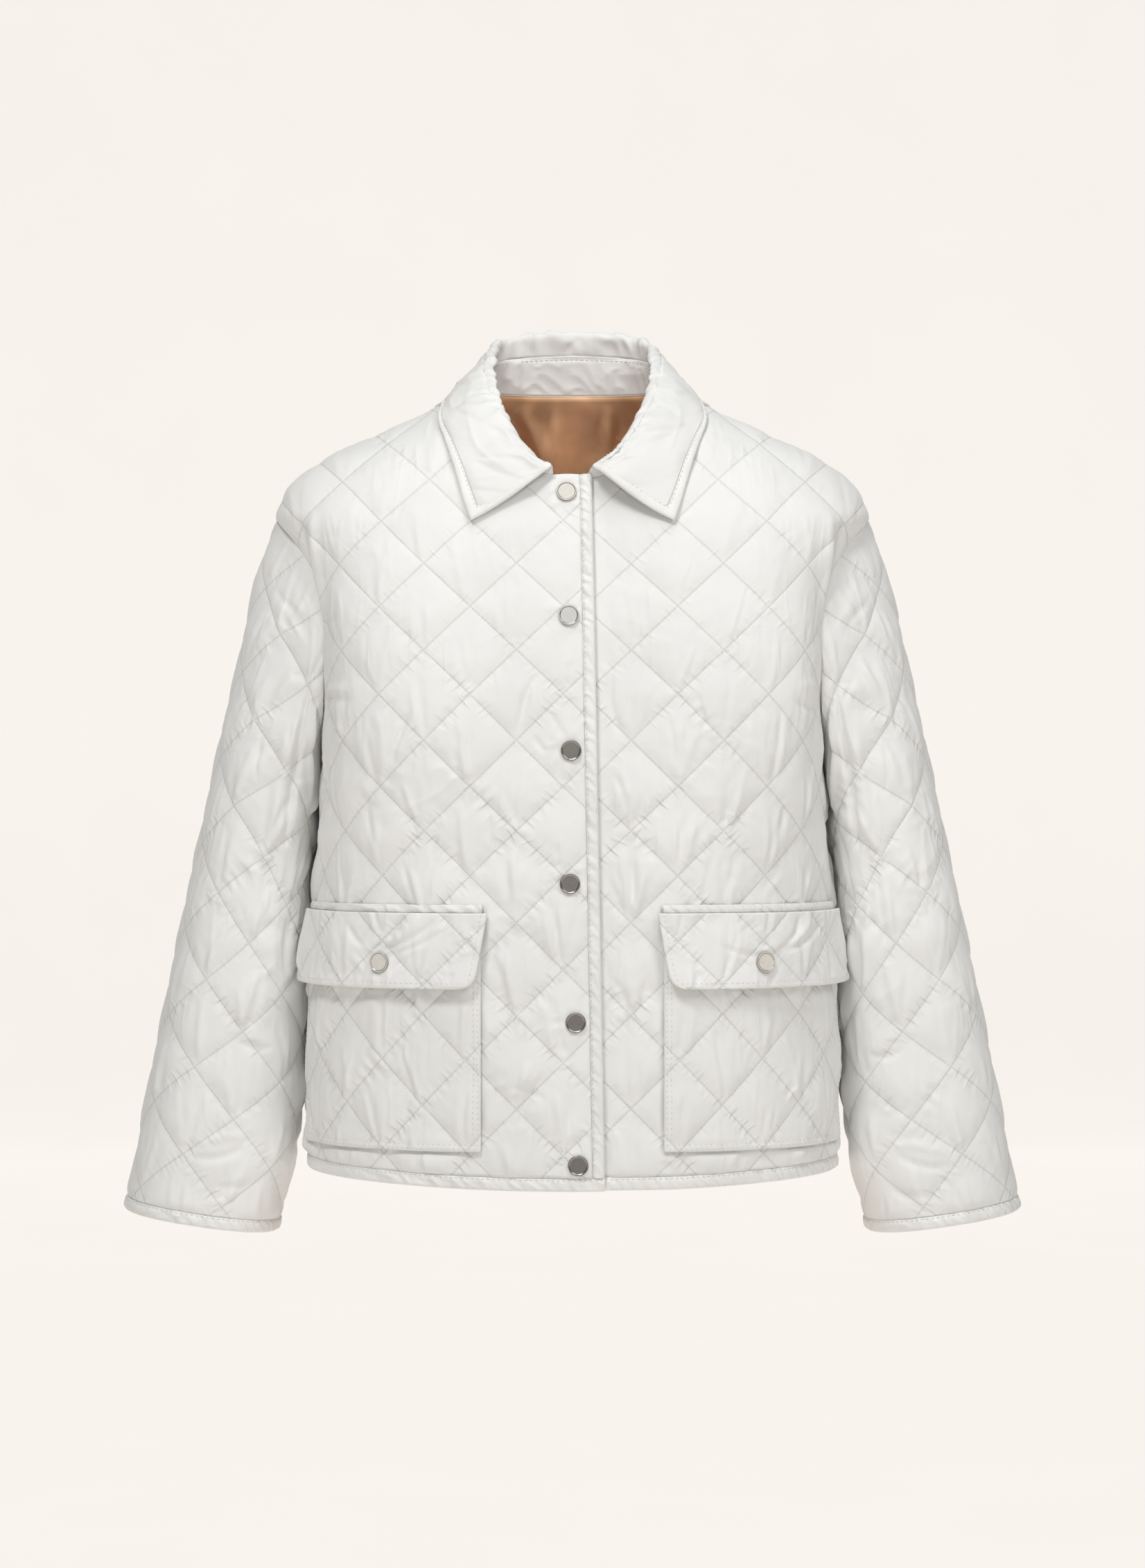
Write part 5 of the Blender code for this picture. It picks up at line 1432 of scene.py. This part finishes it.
class JACKET_OT_collar(bpy.types.Operator):
    """Make the collar's stand, its fall and the binding round it"""

    bl_idname = "jacket.collar"
    bl_label = "Collar"

    def execute(self, context):
        kit = context.scene.jacket
        collar = Collar()
        half = COLLAR_CLOTH / 2
        grid = self.tucked(collar.fall)
        normals = collar.fall_normals
        down = from_edge(grid, 0, False)
        x = np.broadcast_to(collar.at - collar.at.mean(), down.shape)
        stretch = np.linalg.norm(np.gradient(grid, axis=1), axis=-1)
        x = np.cumsum(stretch, axis=1)
        x = x - x[:, [x.shape[1] // 2]]
        u, v = lattice(x, -down, 0.012, -0.020, 0.062, 0.062)
        to_edge = np.minimum.reduce([from_edge(grid, 0, False), from_edge(grid, 0, True),
                                     from_edge(grid, 1, False), from_edge(grid, 1, True)])
        extra = creases(x, down, COLLAR_CREASES)
        rolled = np.exp(-((down - 0.014) / 0.010) ** 2)
        extra = extra + 0.0075 * rolled * (wrinkles((x + 0.25 * down) / 0.011, down / 0.030, 33) - 0.3)
        over = ease((down - 0.018) / 0.02)
        wandering = down / 0.020 + 0.7 * noise(x / 0.05, down / 0.04, 34)
        extra = extra + 0.0022 * over * wrinkles(wandering, x / 0.060, 35)
        height = relief(kit, u, v, 31, to_edge, extra) * 0.42 - 0.0004
        outer = grid + normals * (half + height)[..., None]
        inner = (grid - normals * half)[::2, ::2]
        made = shell("quilted_collar_fall", outer, inner, [look("plain cloth")], np.stack([u, v], axis=-1))
        cloth(made, "collar_fall", (0.610, 0.190), area_of(grid))
        self.stand(kit, collar)
        self.binding(collar)
        return {"FINISHED"}

    def tucked(self, points):
        """The leaf drawn in and lowered where it turns over the shoulder."""
        x, y = points[..., 0], points[..., 1]
        weight = np.exp(-((y - 0.012) / 0.014) ** 2) * ease((np.abs(x) - 0.080) / 0.020)
        lowered = np.exp(-((y + 0.011) / 0.017) ** 2) * ease((np.abs(x) - 0.086) / 0.012)
        return points + np.stack([-np.sign(x) * 0.0060 * weight, 0 * weight, -0.0022 * lowered], axis=-1)

    def stand(self, kit, collar):
        up = np.linspace(0, 1, 25)[:, None, None]
        outer = collar.seam[None] * (1 - up) + collar.stand_top[None] * up
        facing = unit(collar.seam_normals[None] * (1 - up) + collar.outward[None] * up)
        base = outer - facing * COLLAR_CLOTH
        high = from_edge(base, 0, False)
        edge = np.minimum(high, from_edge(base, 0, True))
        x = np.broadcast_to(collar.at, base.shape[:2])
        row = high / high[-1:].max()
        height = 0.0011 * wrinkles(x / 0.013 + 0.6 * noise(x / 0.03, row * 2, 38), row * 1.3 + 2, 37)
        fine = 0.0009 * wrinkles((x + 0.010 * row) / 0.0085, row * 2.2, 39)
        height += fine + 0.0005 * noise(x / 0.02, row * 2, 40)
        furrow = 0.0011 * np.exp(-((row - STAND_STITCH) / 0.045) ** 2)
        height = (height - 0.0006) * np.clip(edge / 0.004, 0, 1) - furrow
        face = base - facing * np.maximum(height + 0.0002, -0.0008)[..., None]
        made = shell("collar_stand_band", face, outer[::2, ::2], [look("plain cloth")],
                     np.stack([x, high], axis=-1))
        rows = np.full(300, STAND_STITCH * (len(base) - 1))
        line = grid_at(base - facing * 0.0004, rows, np.linspace(4, base.shape[1] - 5, 300))
        inward = grid_at(-facing, rows, np.linspace(4, base.shape[1] - 5, 300))
        thread("stand_stitching", [(line, inward)], slot="quilted_shell")
        cloth(made, "collar_stand", (0.555, 0.036), area_of(base))

    def binding(self, collar):
        grid = self.tucked(collar.fall)
        normals = collar.fall_normals
        columns = grid.shape[1]
        rim_row = self.tucked(collar.leaf(np.ones(columns)))
        ends = []
        for column, step in ((0, 1), (-1, -1)):
            line = np.concatenate([grid[:, column], rim_row[[column]]])
            ends.append(line)
        def inset(column, step):
            width = np.linalg.norm(grid[-1, column + step * 6] - grid[-1, column]) / 6
            return int(round(COLLAR_BINDING / width))
        near = inset(0, 1)
        far = columns - 1 - inset(-1, -1)
        count = 46
        start = 14
        first_rim = along_path(ends[0][start:], np.linspace(0, path_length(ends[0][start:]), count))
        first_inner = along_path(grid[start:, near], np.linspace(0, path_length(grid[start:, near]), count))
        last_rim = along_path(ends[1][start:], np.linspace(0, path_length(ends[1][start:]), count))
        last_inner = along_path(grid[start:, far], np.linspace(0, path_length(grid[start:, far]), count))
        edge = 330
        rim_line = along_path(rim_row, np.linspace(0, path_length(rim_row), edge))
        inner_row = grid[-1, near:far + 1]
        inner_line = along_path(inner_row, np.linspace(0, path_length(inner_row), edge))
        rim = np.concatenate([first_rim, rim_line[1:-1], last_rim[::-1]])
        inner = np.concatenate([first_inner, inner_line[1:-1], last_inner[::-1]])
        def on(line):
            return along_path(line, np.linspace(0, path_length(line), count))
        top = np.concatenate([resampled(normals[start:, near], count),
                              resampled(normals[-1, near:far + 1], edge)[1:-1],
                              resampled(normals[start:, far], count)[::-1]])
        made, seam = band("collar_rim", inner, rim, unit(top), COLLAR_CLOTH / 2 + 0.0002,
                          [look("smooth trim")], seed=41, gather=0.0003)
        cloth(made, "collar_binding", (0.790, 0.020),
              path_length((inner + rim) / 2) * COLLAR_BINDING)
        thread("collar_stitching", [(seam, unit(top))])


class JACKET_OT_bindings(bpy.types.Operator):
    """Make the bindings of hem, front edge and cuffs"""

    bl_idname = "jacket.bindings"
    bl_label = "Bindings"

    def execute(self, context):
        half = SHELL / 2 + 0.0004
        inner = []
        rim = []
        normals = []
        for z, store in ((HEM_Z + BINDING, inner), (HEM_Z, rim)):
            right = -front_edges(np.array([(z - HEM_Z) / (NECK_FRONT_Z - HEM_Z)]), True)[0][0]
            line = []
            for side, start in (("right", -right), ("left", -LEFT_EDGE)):
                arc = np.linspace(start, FRONT_HALF.total(z), 240)
                share = arc / FRONT_HALF.total(z)
                level = z - HEM_DIP_FRONT * np.cos(np.minimum(np.abs(share), 1) * math.pi / 2) ** 2
                points, normal = front_at(arc, level, side == "right")
                line.append(np.concatenate([points, normal], axis=1)[::1 if side == "right" else -1])
            part = np.linspace(-1, 1, 401)[1:-1]
            level = z - HEM_DIP_BACK * np.cos(part * math.pi / 2) ** 2
            angle = BACK_HALF.angle(np.abs(part), level)
            flip = np.stack([np.sign(part + TINY), np.ones(399), np.ones(399)], axis=1)
            line.insert(1, np.concatenate([torso(angle, level) * flip, torso_normal(angle, level) * flip],
                                          axis=1))
            store.append(np.concatenate(line))
        inner, normals = inner[0][:, :3], inner[0][:, 3:]
        rim = rim[0][:, :3]
        count = 820
        inner, rim, normals = resampled(inner, count), resampled(rim, count), unit(resampled(normals, count))
        inset = normals * (SHELL / 2)
        made, seam = band("hem_band", inner - inset, rim - inset, normals, half, [look("folded trim")],
                          seed=51, gather=0.0010)
        cloth(made, "hem_binding", (1.140, 0.026), path_length(inner) * BINDING)
        paths = [(seam, normals)]
        rise = np.linspace(0, 1, 400)
        z = (HEM_Z + BINDING) + (NECK_FRONT_Z - HEM_Z - BINDING) * rise
        edge, inside_edge, _ = front_edges((z - HEM_Z) / (NECK_FRONT_Z - HEM_Z), True)
        dropped = z - hem_drop(z, HEM_DIP_FRONT)
        rim, normals = front_at(edge, dropped, True)
        inner, _ = front_at(inside_edge, dropped, True)
        count = 330
        inner, rim, normals = resampled(inner, count), resampled(rim, count), unit(resampled(normals, count))
        inset = normals * (SHELL / 2)
        made, seam = band("placket_band", inner - inset, rim - inset, normals, half, [look("folded trim")],
                          seed=52, gather=0.0008)
        cloth(made, "placket_binding", (0.540, 0.024),
              path_length(inner) * PLACKET_BINDING)
        paths.append((seam, normals))
        cuff = Sleeve(CUFF_SEAM_RING, 13.0, rows=9, columns=250)
        for side, sign in (("right", -1.0), ("left", 1.0)):
            flip = np.array([sign, 1.0, 1.0])
            inset = cuff.normals[4] * (SHELL / 2)
            made, seam = band("cuff_band_" + side, (cuff.points[0] - inset) * flip,
                              (cuff.points[-1] - inset) * flip, cuff.normals[4] * flip, half,
                              [look("folded trim")], closed=True, seed=53 + int(sign), gather=0.0009)
            cloth(made, "cuff_binding_" + side, (0.400, 0.026),
                  path_length(cuff.points[0]) * BINDING)
            facing = np.concatenate([cuff.normals[4], cuff.normals[4][:1]]) * flip
            paths.append((np.concatenate([seam, seam[:1]]), facing))
        thread("binding_stitching", paths)
        return {"FINISHED"}


def resampled(line, count):
    """Evenly spaced values along a line of rows."""
    at = np.linspace(0, len(line) - 1, count)
    if line.shape[1] >= 3 and np.abs(np.linalg.norm(line[:, :3], axis=1) - 1).max() > 1e-6:
        return along_path(line, np.linspace(0, path_length(line), count))
    return np.stack([np.interp(at, np.arange(len(line)), line[:, k]) for k in range(line.shape[1])], axis=-1)


class JACKET_OT_pockets(bpy.types.Operator):
    """Make the patch pockets, their flaps and the strips over them"""

    bl_idname = "jacket.pockets"
    bl_label = "Pockets"

    def execute(self, context):
        kit = context.scene.jacket
        for side in ("right", "left"):
            self.pocket(kit, side)
            self.flap(kit, side)
            self.strip(side)
        return {"FINISHED"}

    def pocket(self, kit, side):
        right = side == "right"
        arcs = np.linspace(POCKET_INNER, POCKET_OUTER, 115)
        levels = np.linspace(POCKET_BOTTOM_Z, POCKET_TOP_Z, 107)
        arc, z = np.meshgrid(arcs, levels)
        base, normals = front_at(arc, z, right)
        u, v = lattice(arc, z, *POCKET_LATTICE)
        to_edge = np.minimum.reduce([arc - POCKET_INNER, POCKET_OUTER - arc, z - POCKET_BOTTOM_Z])
        hemmed = 0.0008 * (1 - ease((to_edge - 0.004) / 0.0016))
        extra = hemmed
        for line in (0.0022, 0.0052):
            extra = extra - 0.0009 * np.exp(-((to_edge - line) / 0.0010) ** 2)
        height = relief(kit, u, v, 61 + right, np.maximum(to_edge, 0) + 0.0012, extra, 0.75) * 1.15
        outer = base + normals * (LIE_GAP + POCKET_CLOTH + height)[..., None]
        inner = (base + normals * LIE_GAP)[::2, ::2]
        made = shell("patch_pocket_" + side, outer, inner, [look("quilted cloth")], np.stack([u, v], axis=-1))
        cloth(made, "pocket_" + side, (0.195, 0.190), area_of(base))
        paths = []
        for inset in (0.0022, 0.0052):
            column = inset / (arcs[1] - arcs[0])
            row = inset / (levels[1] - levels[0])
            upper = np.linspace(106, row, 160)
            across = np.linspace(column, 114 - column, 200)
            for rows, columns in ((upper, np.full(160, column)), (np.full(200, row), across),
                                  (upper[::-1], np.full(160, 114 - column))):
                paths.append((grid_at(outer, rows, columns), grid_at(normals, rows, columns)))
        thread("pocket_stitching_" + side, paths, slot="quilted_shell")

    def flap(self, kit, side):
        right = side == "right"
        downs = np.linspace(0, 1, 41)
        alongs = np.linspace(0, 1, 125)
        drop = STRIP_BOTTOM_Z - FLAP_BOTTOM_Z
        above = (1 - downs) * drop
        inset = np.where(above < FLAP_CORNER, FLAP_CORNER - np.sqrt(np.maximum(
            FLAP_CORNER ** 2 - (FLAP_CORNER - above) ** 2, 0)), 0)
        down, along = np.meshgrid(downs, alongs, indexing="ij")
        z = STRIP_BOTTOM_Z - drop * down
        width = FLAP_OUTER - FLAP_INNER - 2 * inset[:, None]
        arc = FLAP_INNER + FLAP_SLANT * down + inset[:, None] + width * along
        angle = FRONT_HALF.angle(arc / FRONT_HALF.total(z), z)
        lift = FLAP_CLEAR + FLAP_STAND_OFF * down ** 1.3
        lift = lift + creases(arc, z, FLAP_WAVES)
        under = torso(angle, z) + torso_normal(angle, z) * lift[..., None]
        flip = np.array([-1.0 if right else 1.0, 1.0, 1.0])
        under = under * flip
        normals = grid_normals(under, under * [1, 1, 0.0])
        u, v = lattice(arc, z, *FLAP_LATTICE)
        to_edge = np.minimum.reduce([from_edge(under, 1, False), from_edge(under, 1, True),
                                     from_edge(under, 0, True)])
        extra = creases(arc, z, FLAP_CREASES[side]) - 0.0005 * np.exp(
            -((to_edge - FLAP_STITCH_INSET) / 0.0010) ** 2)
        extra = extra + 0.0004 * (1 - ease((to_edge - 0.0030) / 0.0020))
        height = relief(kit, u, v, 71 + right, to_edge + 0.0015, extra) * 0.85
        spots = snap_spots(side, ["flap_snap_" + side])
        height = pressed(height, arc, z, spots, -0.0002, 311 + right, 0.0004)
        outer = under + normals * (FLAP_CLOTH + height)[..., None]
        made = shell("pocket_flap_" + side, outer, under[::2, ::2], [look("quilted cloth")],
                     np.stack([u, v], axis=-1))
        cloth(made, "flap_" + side, (0.190, 0.066), area_of(under))
        inset_columns = FLAP_STITCH_INSET / FLAP_COLUMN_STEP
        last_column = len(alongs) - 1 - inset_columns
        rows = np.linspace(0, len(downs) - 1 - FLAP_STITCH_INSET / FLAP_ROW_STEP, 60)
        path = [(rows, np.full(60, inset_columns)),
                (np.full(220, rows[-1]), np.linspace(inset_columns, last_column, 220)),
                (rows[::-1], np.full(60, last_column))]
        thread("flap_stitching_" + side, [(grid_at(outer, r, c), grid_at(normals, r, c)) for r, c in path],
               slot="quilted_shell")

    def strip(self, side):
        right = side == "right"
        arc = np.linspace(POCKET_INNER - 0.0012, POCKET_OUTER, 120)
        top, normals = front_at(arc, np.full(120, STRIP_TOP_Z), right)
        low, _ = front_at(arc, np.full(120, STRIP_BOTTOM_Z - 0.0007), right)
        lift = normals * (LIE_GAP + STRIP_CLOTH / 2)
        made, seam = band("flap_fold_" + side, top + lift, low + lift, normals, STRIP_CLOTH / 2 - 0.0008,
                          [look("folded trim")], seed=81 + right, gather=0.00025, puff=0.0)
        cloth(made, "flap_strip_" + side, (0.190, 0.018),
              path_length(top) * (STRIP_TOP_Z - STRIP_BOTTOM_Z))


class JACKET_OT_lining(bpy.types.Operator):
    """Make the satin lining that shows inside the back of the neck"""

    bl_idname = "jacket.lining"
    bl_label = "Lining"

    def execute(self, context):
        parts = np.linspace(-0.875, 0.875, 97)
        ups = np.linspace(0, 1, 65)
        part, up = np.meshgrid(parts, ups)
        top = NECK_BACK_Z + (NECK_POINT_Z - NECK_BACK_Z) * part ** 2 - 0.0008
        z = LINING_LOW_Z + (top - LINING_LOW_Z) * up
        share = np.abs(part) * (1 - 0.10 * (1 - up))
        angle = BACK_HALF.angle(share, z)
        flip = np.stack([np.sign(part + TINY), np.ones_like(part), np.ones_like(part)], axis=-1)
        base = torso(angle, z) * flip
        normals = torso_normal(angle, z) * flip
        x = part * BACK_HALF.total(z)
        folds = LINING_FOLD_DEPTH * creases(x, z, LINING_FOLDS) + 0.0012 * noise(x / 0.016, z / 0.045, 7)
        hold = ease(from_edge(base, 0, True) / 0.010)
        depth = SHELL + LIE_GAP + np.maximum(0.0003, 0.0012 + folds) * hold
        face = base - normals * (depth + LINING_CLOTH)[..., None]
        made = shell("neck_lining", face, (base - normals * depth[..., None])[::2, ::2], [look("satin")],
                     np.stack([x, z], axis=-1))
        cloth(made, "back_lining", (0.480, 0.200), area_of(base))
        return {"FINISHED"}


class JACKET_OT_snaps(bpy.types.Operator):
    """Make the round caps of the press studs"""

    bl_idname = "jacket.snaps"
    bl_label = "Snaps"

    def execute(self, context):
        for number in range(1, 7):
            self.cap("snap_%d" % number, ("pale", "silver", "grey")[min(number, 3) - 1])
        for side in ("right", "left"):
            self.cap("flap_snap_" + side, "pale")
        return {"FINISHED"}

    def cap(self, node, shade):
        low, high = [np.array(corner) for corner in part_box(node)]
        middle = (low + high) / 2
        angle = math.atan2(middle[0], -middle[1])
        normal = torso_normal(angle, middle[2])
        on_flap = node.startswith("flap")
        up = (Vector(normal) + Vector((0, 0, 0.10 if on_flap else 0.0))).normalized()
        middle = middle + np.array(up) * (0.0009 if on_flap else 0.0)
        for other in bpy.context.selected_objects:
            other.select_set(False)
        bpy.ops.mesh.primitive_cylinder_add(vertices=48, radius=0.0075, depth=0.0020, end_fill_type="NGON")
        made = bpy.context.object
        bpy.ops.object.mode_set(mode="EDIT")
        bpy.ops.mesh.select_mode(type="FACE")
        self.pick_top(made, 0.0009)
        bpy.ops.mesh.inset(thickness=0.0009)
        bpy.ops.mesh.inset(thickness=0.0004)
        bpy.ops.transform.translate(value=(0, 0, -0.00055))
        bpy.ops.mesh.inset(thickness=0.0030)
        bpy.ops.transform.translate(value=(0, 0, 0.00012))
        bpy.ops.object.mode_set(mode="OBJECT")
        rim = made.modifiers.new("rim", "BEVEL")
        rim.width = 0.00045
        rim.segments = 3
        rim.limit_method = "ANGLE"
        rim.angle_limit = math.radians(35)
        bpy.ops.object.modifier_apply(modifier="rim")
        bpy.ops.object.shade_smooth_by_angle(angle=math.radians(40))
        turned = up.to_track_quat("Z", "Y").to_matrix().to_4x4()
        made.matrix_world = Matrix.Translation(Vector(middle)) @ turned
        bpy.ops.object.transform_apply(location=True, rotation=True, scale=True)
        made.name = node + "_cap"
        made.data.materials.append(look(shade + " cap"))
        made.data.materials.append(look(shade + " cap rim painted shade and highlight"))
        # Faces turned away from the cap's top take the rim colour: painted shade on pale and silver caps, a
        # painted highlight on grey ones.
        for face in made.data.polygons:
            face.material_index = int(face.normal.dot(up) < 0.93)
        tell(made, node)

    def pick_top(self, made, height):
        bpy.ops.object.mode_set(mode="OBJECT")
        for face in made.data.polygons:
            face.select = face.center.z > height and face.normal.z > 0.9
        bpy.ops.object.mode_set(mode="EDIT")


class JACKET_OT_stage(bpy.types.Operator):
    """Make the pale floor, the lights and the camera"""

    bl_idname = "jacket.stage"
    bl_label = "Stage"

    def execute(self, context):
        profile = [(-16.0, -1.35), (7.0, -1.35)]
        profile += [(7.0 + 1.2 * math.sin(a), -0.15 - 1.2 * math.cos(a))
                    for a in np.linspace(0.1, math.pi / 2, 14)]
        profile += [(8.2, 6.0)]
        vertices = [(x, y, z) for y, z in profile for x in (-6.0, 6.0)]
        faces = [(2 * k, 2 * k + 1, 2 * k + 3, 2 * k + 2) for k in range(len(profile) - 1)]
        made, tree, shader, place = started("backdrop paper", 0.9)
        colour = tuple(context.scene.jacket.backdrop_colour)
        cloudy_tone_and_painted_shading = span(tree, grain(tree, place, 3.0), 0.3, 0.7)
        tone = blended(tree, cloudy_tone_and_painted_shading, (*[c * 0.18 for c in colour], 1.0), (*[c * 0.20 for c in colour], 1.0))
        tree.links.new(tone, shader.inputs["Base Color"])
        shader.inputs["Emission Color"].default_value = (*colour, 1.0)
        shader.inputs["Emission Strength"].default_value = 0.895
        floor = solid("floor", vertices, faces, None, [made])
        self.lights(context)
        self.camera(context)
        return {"FINISHED"}

    def lights(self, context):
        for name, place, aim, size, power in (
                ("key", (-0.9, -2.1, 2.4), (0, 0, -0.25), 0.9, 50.0),
                ("fill", (1.6, -2.2, 1.7), (0, 0, -0.25), 1.6, 30.0),
                ("front", (0.0, -3.4, 0.1), (0, 0, -0.2), 1.6, 9.0),
                ("top", (0.1, -0.8, 2.6), (0, 0, -0.3), 1.2, 20.0)):
            lamp = bpy.data.lights.new(name, "AREA")
            lamp.shape = "DISK"
            lamp.size = size
            lamp.energy = power
            made = bpy.data.objects.new(name, lamp)
            made.location = place
            made.rotation_euler = (Vector(aim) - Vector(place)).to_track_quat("-Z", "Y").to_euler()
            context.scene.collection.objects.link(made)
        world = bpy.data.worlds.new("soft sky")
        world.use_nodes = True
        world.node_tree.nodes["Background"].inputs["Color"].default_value = (*linear("FBF9F5"), 1.0)
        world.node_tree.nodes["Background"].inputs["Strength"].default_value = 0.15
        context.scene.world = world

    def camera(self, context):
        data = bpy.data.cameras.new("camera")
        data.sensor_fit = "VERTICAL"
        data.sensor_height = 36.0
        data.lens = 77.63
        made = bpy.data.objects.new("camera", data)
        made.location = (0, -2.6, -0.303)
        made.rotation_euler = (math.pi / 2, 0, 0)
        context.scene.collection.objects.link(made)
        context.scene.camera = made
        context.scene.view_settings.view_transform = "Standard"


class JACKET_PT_panel(bpy.types.Panel):
    """Lists the jacket's pieces and settings"""

    bl_idname = "JACKET_PT_panel"
    bl_label = "Quilted jacket"
    bl_space_type = "VIEW_3D"
    bl_region_type = "UI"
    bl_category = "Jacket"

    def draw(self, context):
        for name in JacketSettings.__annotations__:
            self.layout.prop(context.scene.jacket, name)
        for step in STEPS:
            self.layout.operator(step.bl_idname)


STEPS = (JACKET_OT_fronts, JACKET_OT_back, JACKET_OT_sleeves, JACKET_OT_collar, JACKET_OT_bindings,
         JACKET_OT_pockets, JACKET_OT_lining, JACKET_OT_snaps, JACKET_OT_stage)
CLASSES = (JacketSettings,) + STEPS + (JACKET_PT_panel,)


def register():
    for made in CLASSES:
        bpy.utils.register_class(made)
    bpy.types.Scene.jacket = PointerProperty(type=JacketSettings)


def unregister():
    del bpy.types.Scene.jacket
    for made in reversed(CLASSES):
        bpy.utils.unregister_class(made)


def main():
    register()
    for step in STEPS:
        group, name = step.bl_idname.split(".")
        getattr(getattr(bpy.ops, group), name)()


if __name__ == "__main__":
    main()
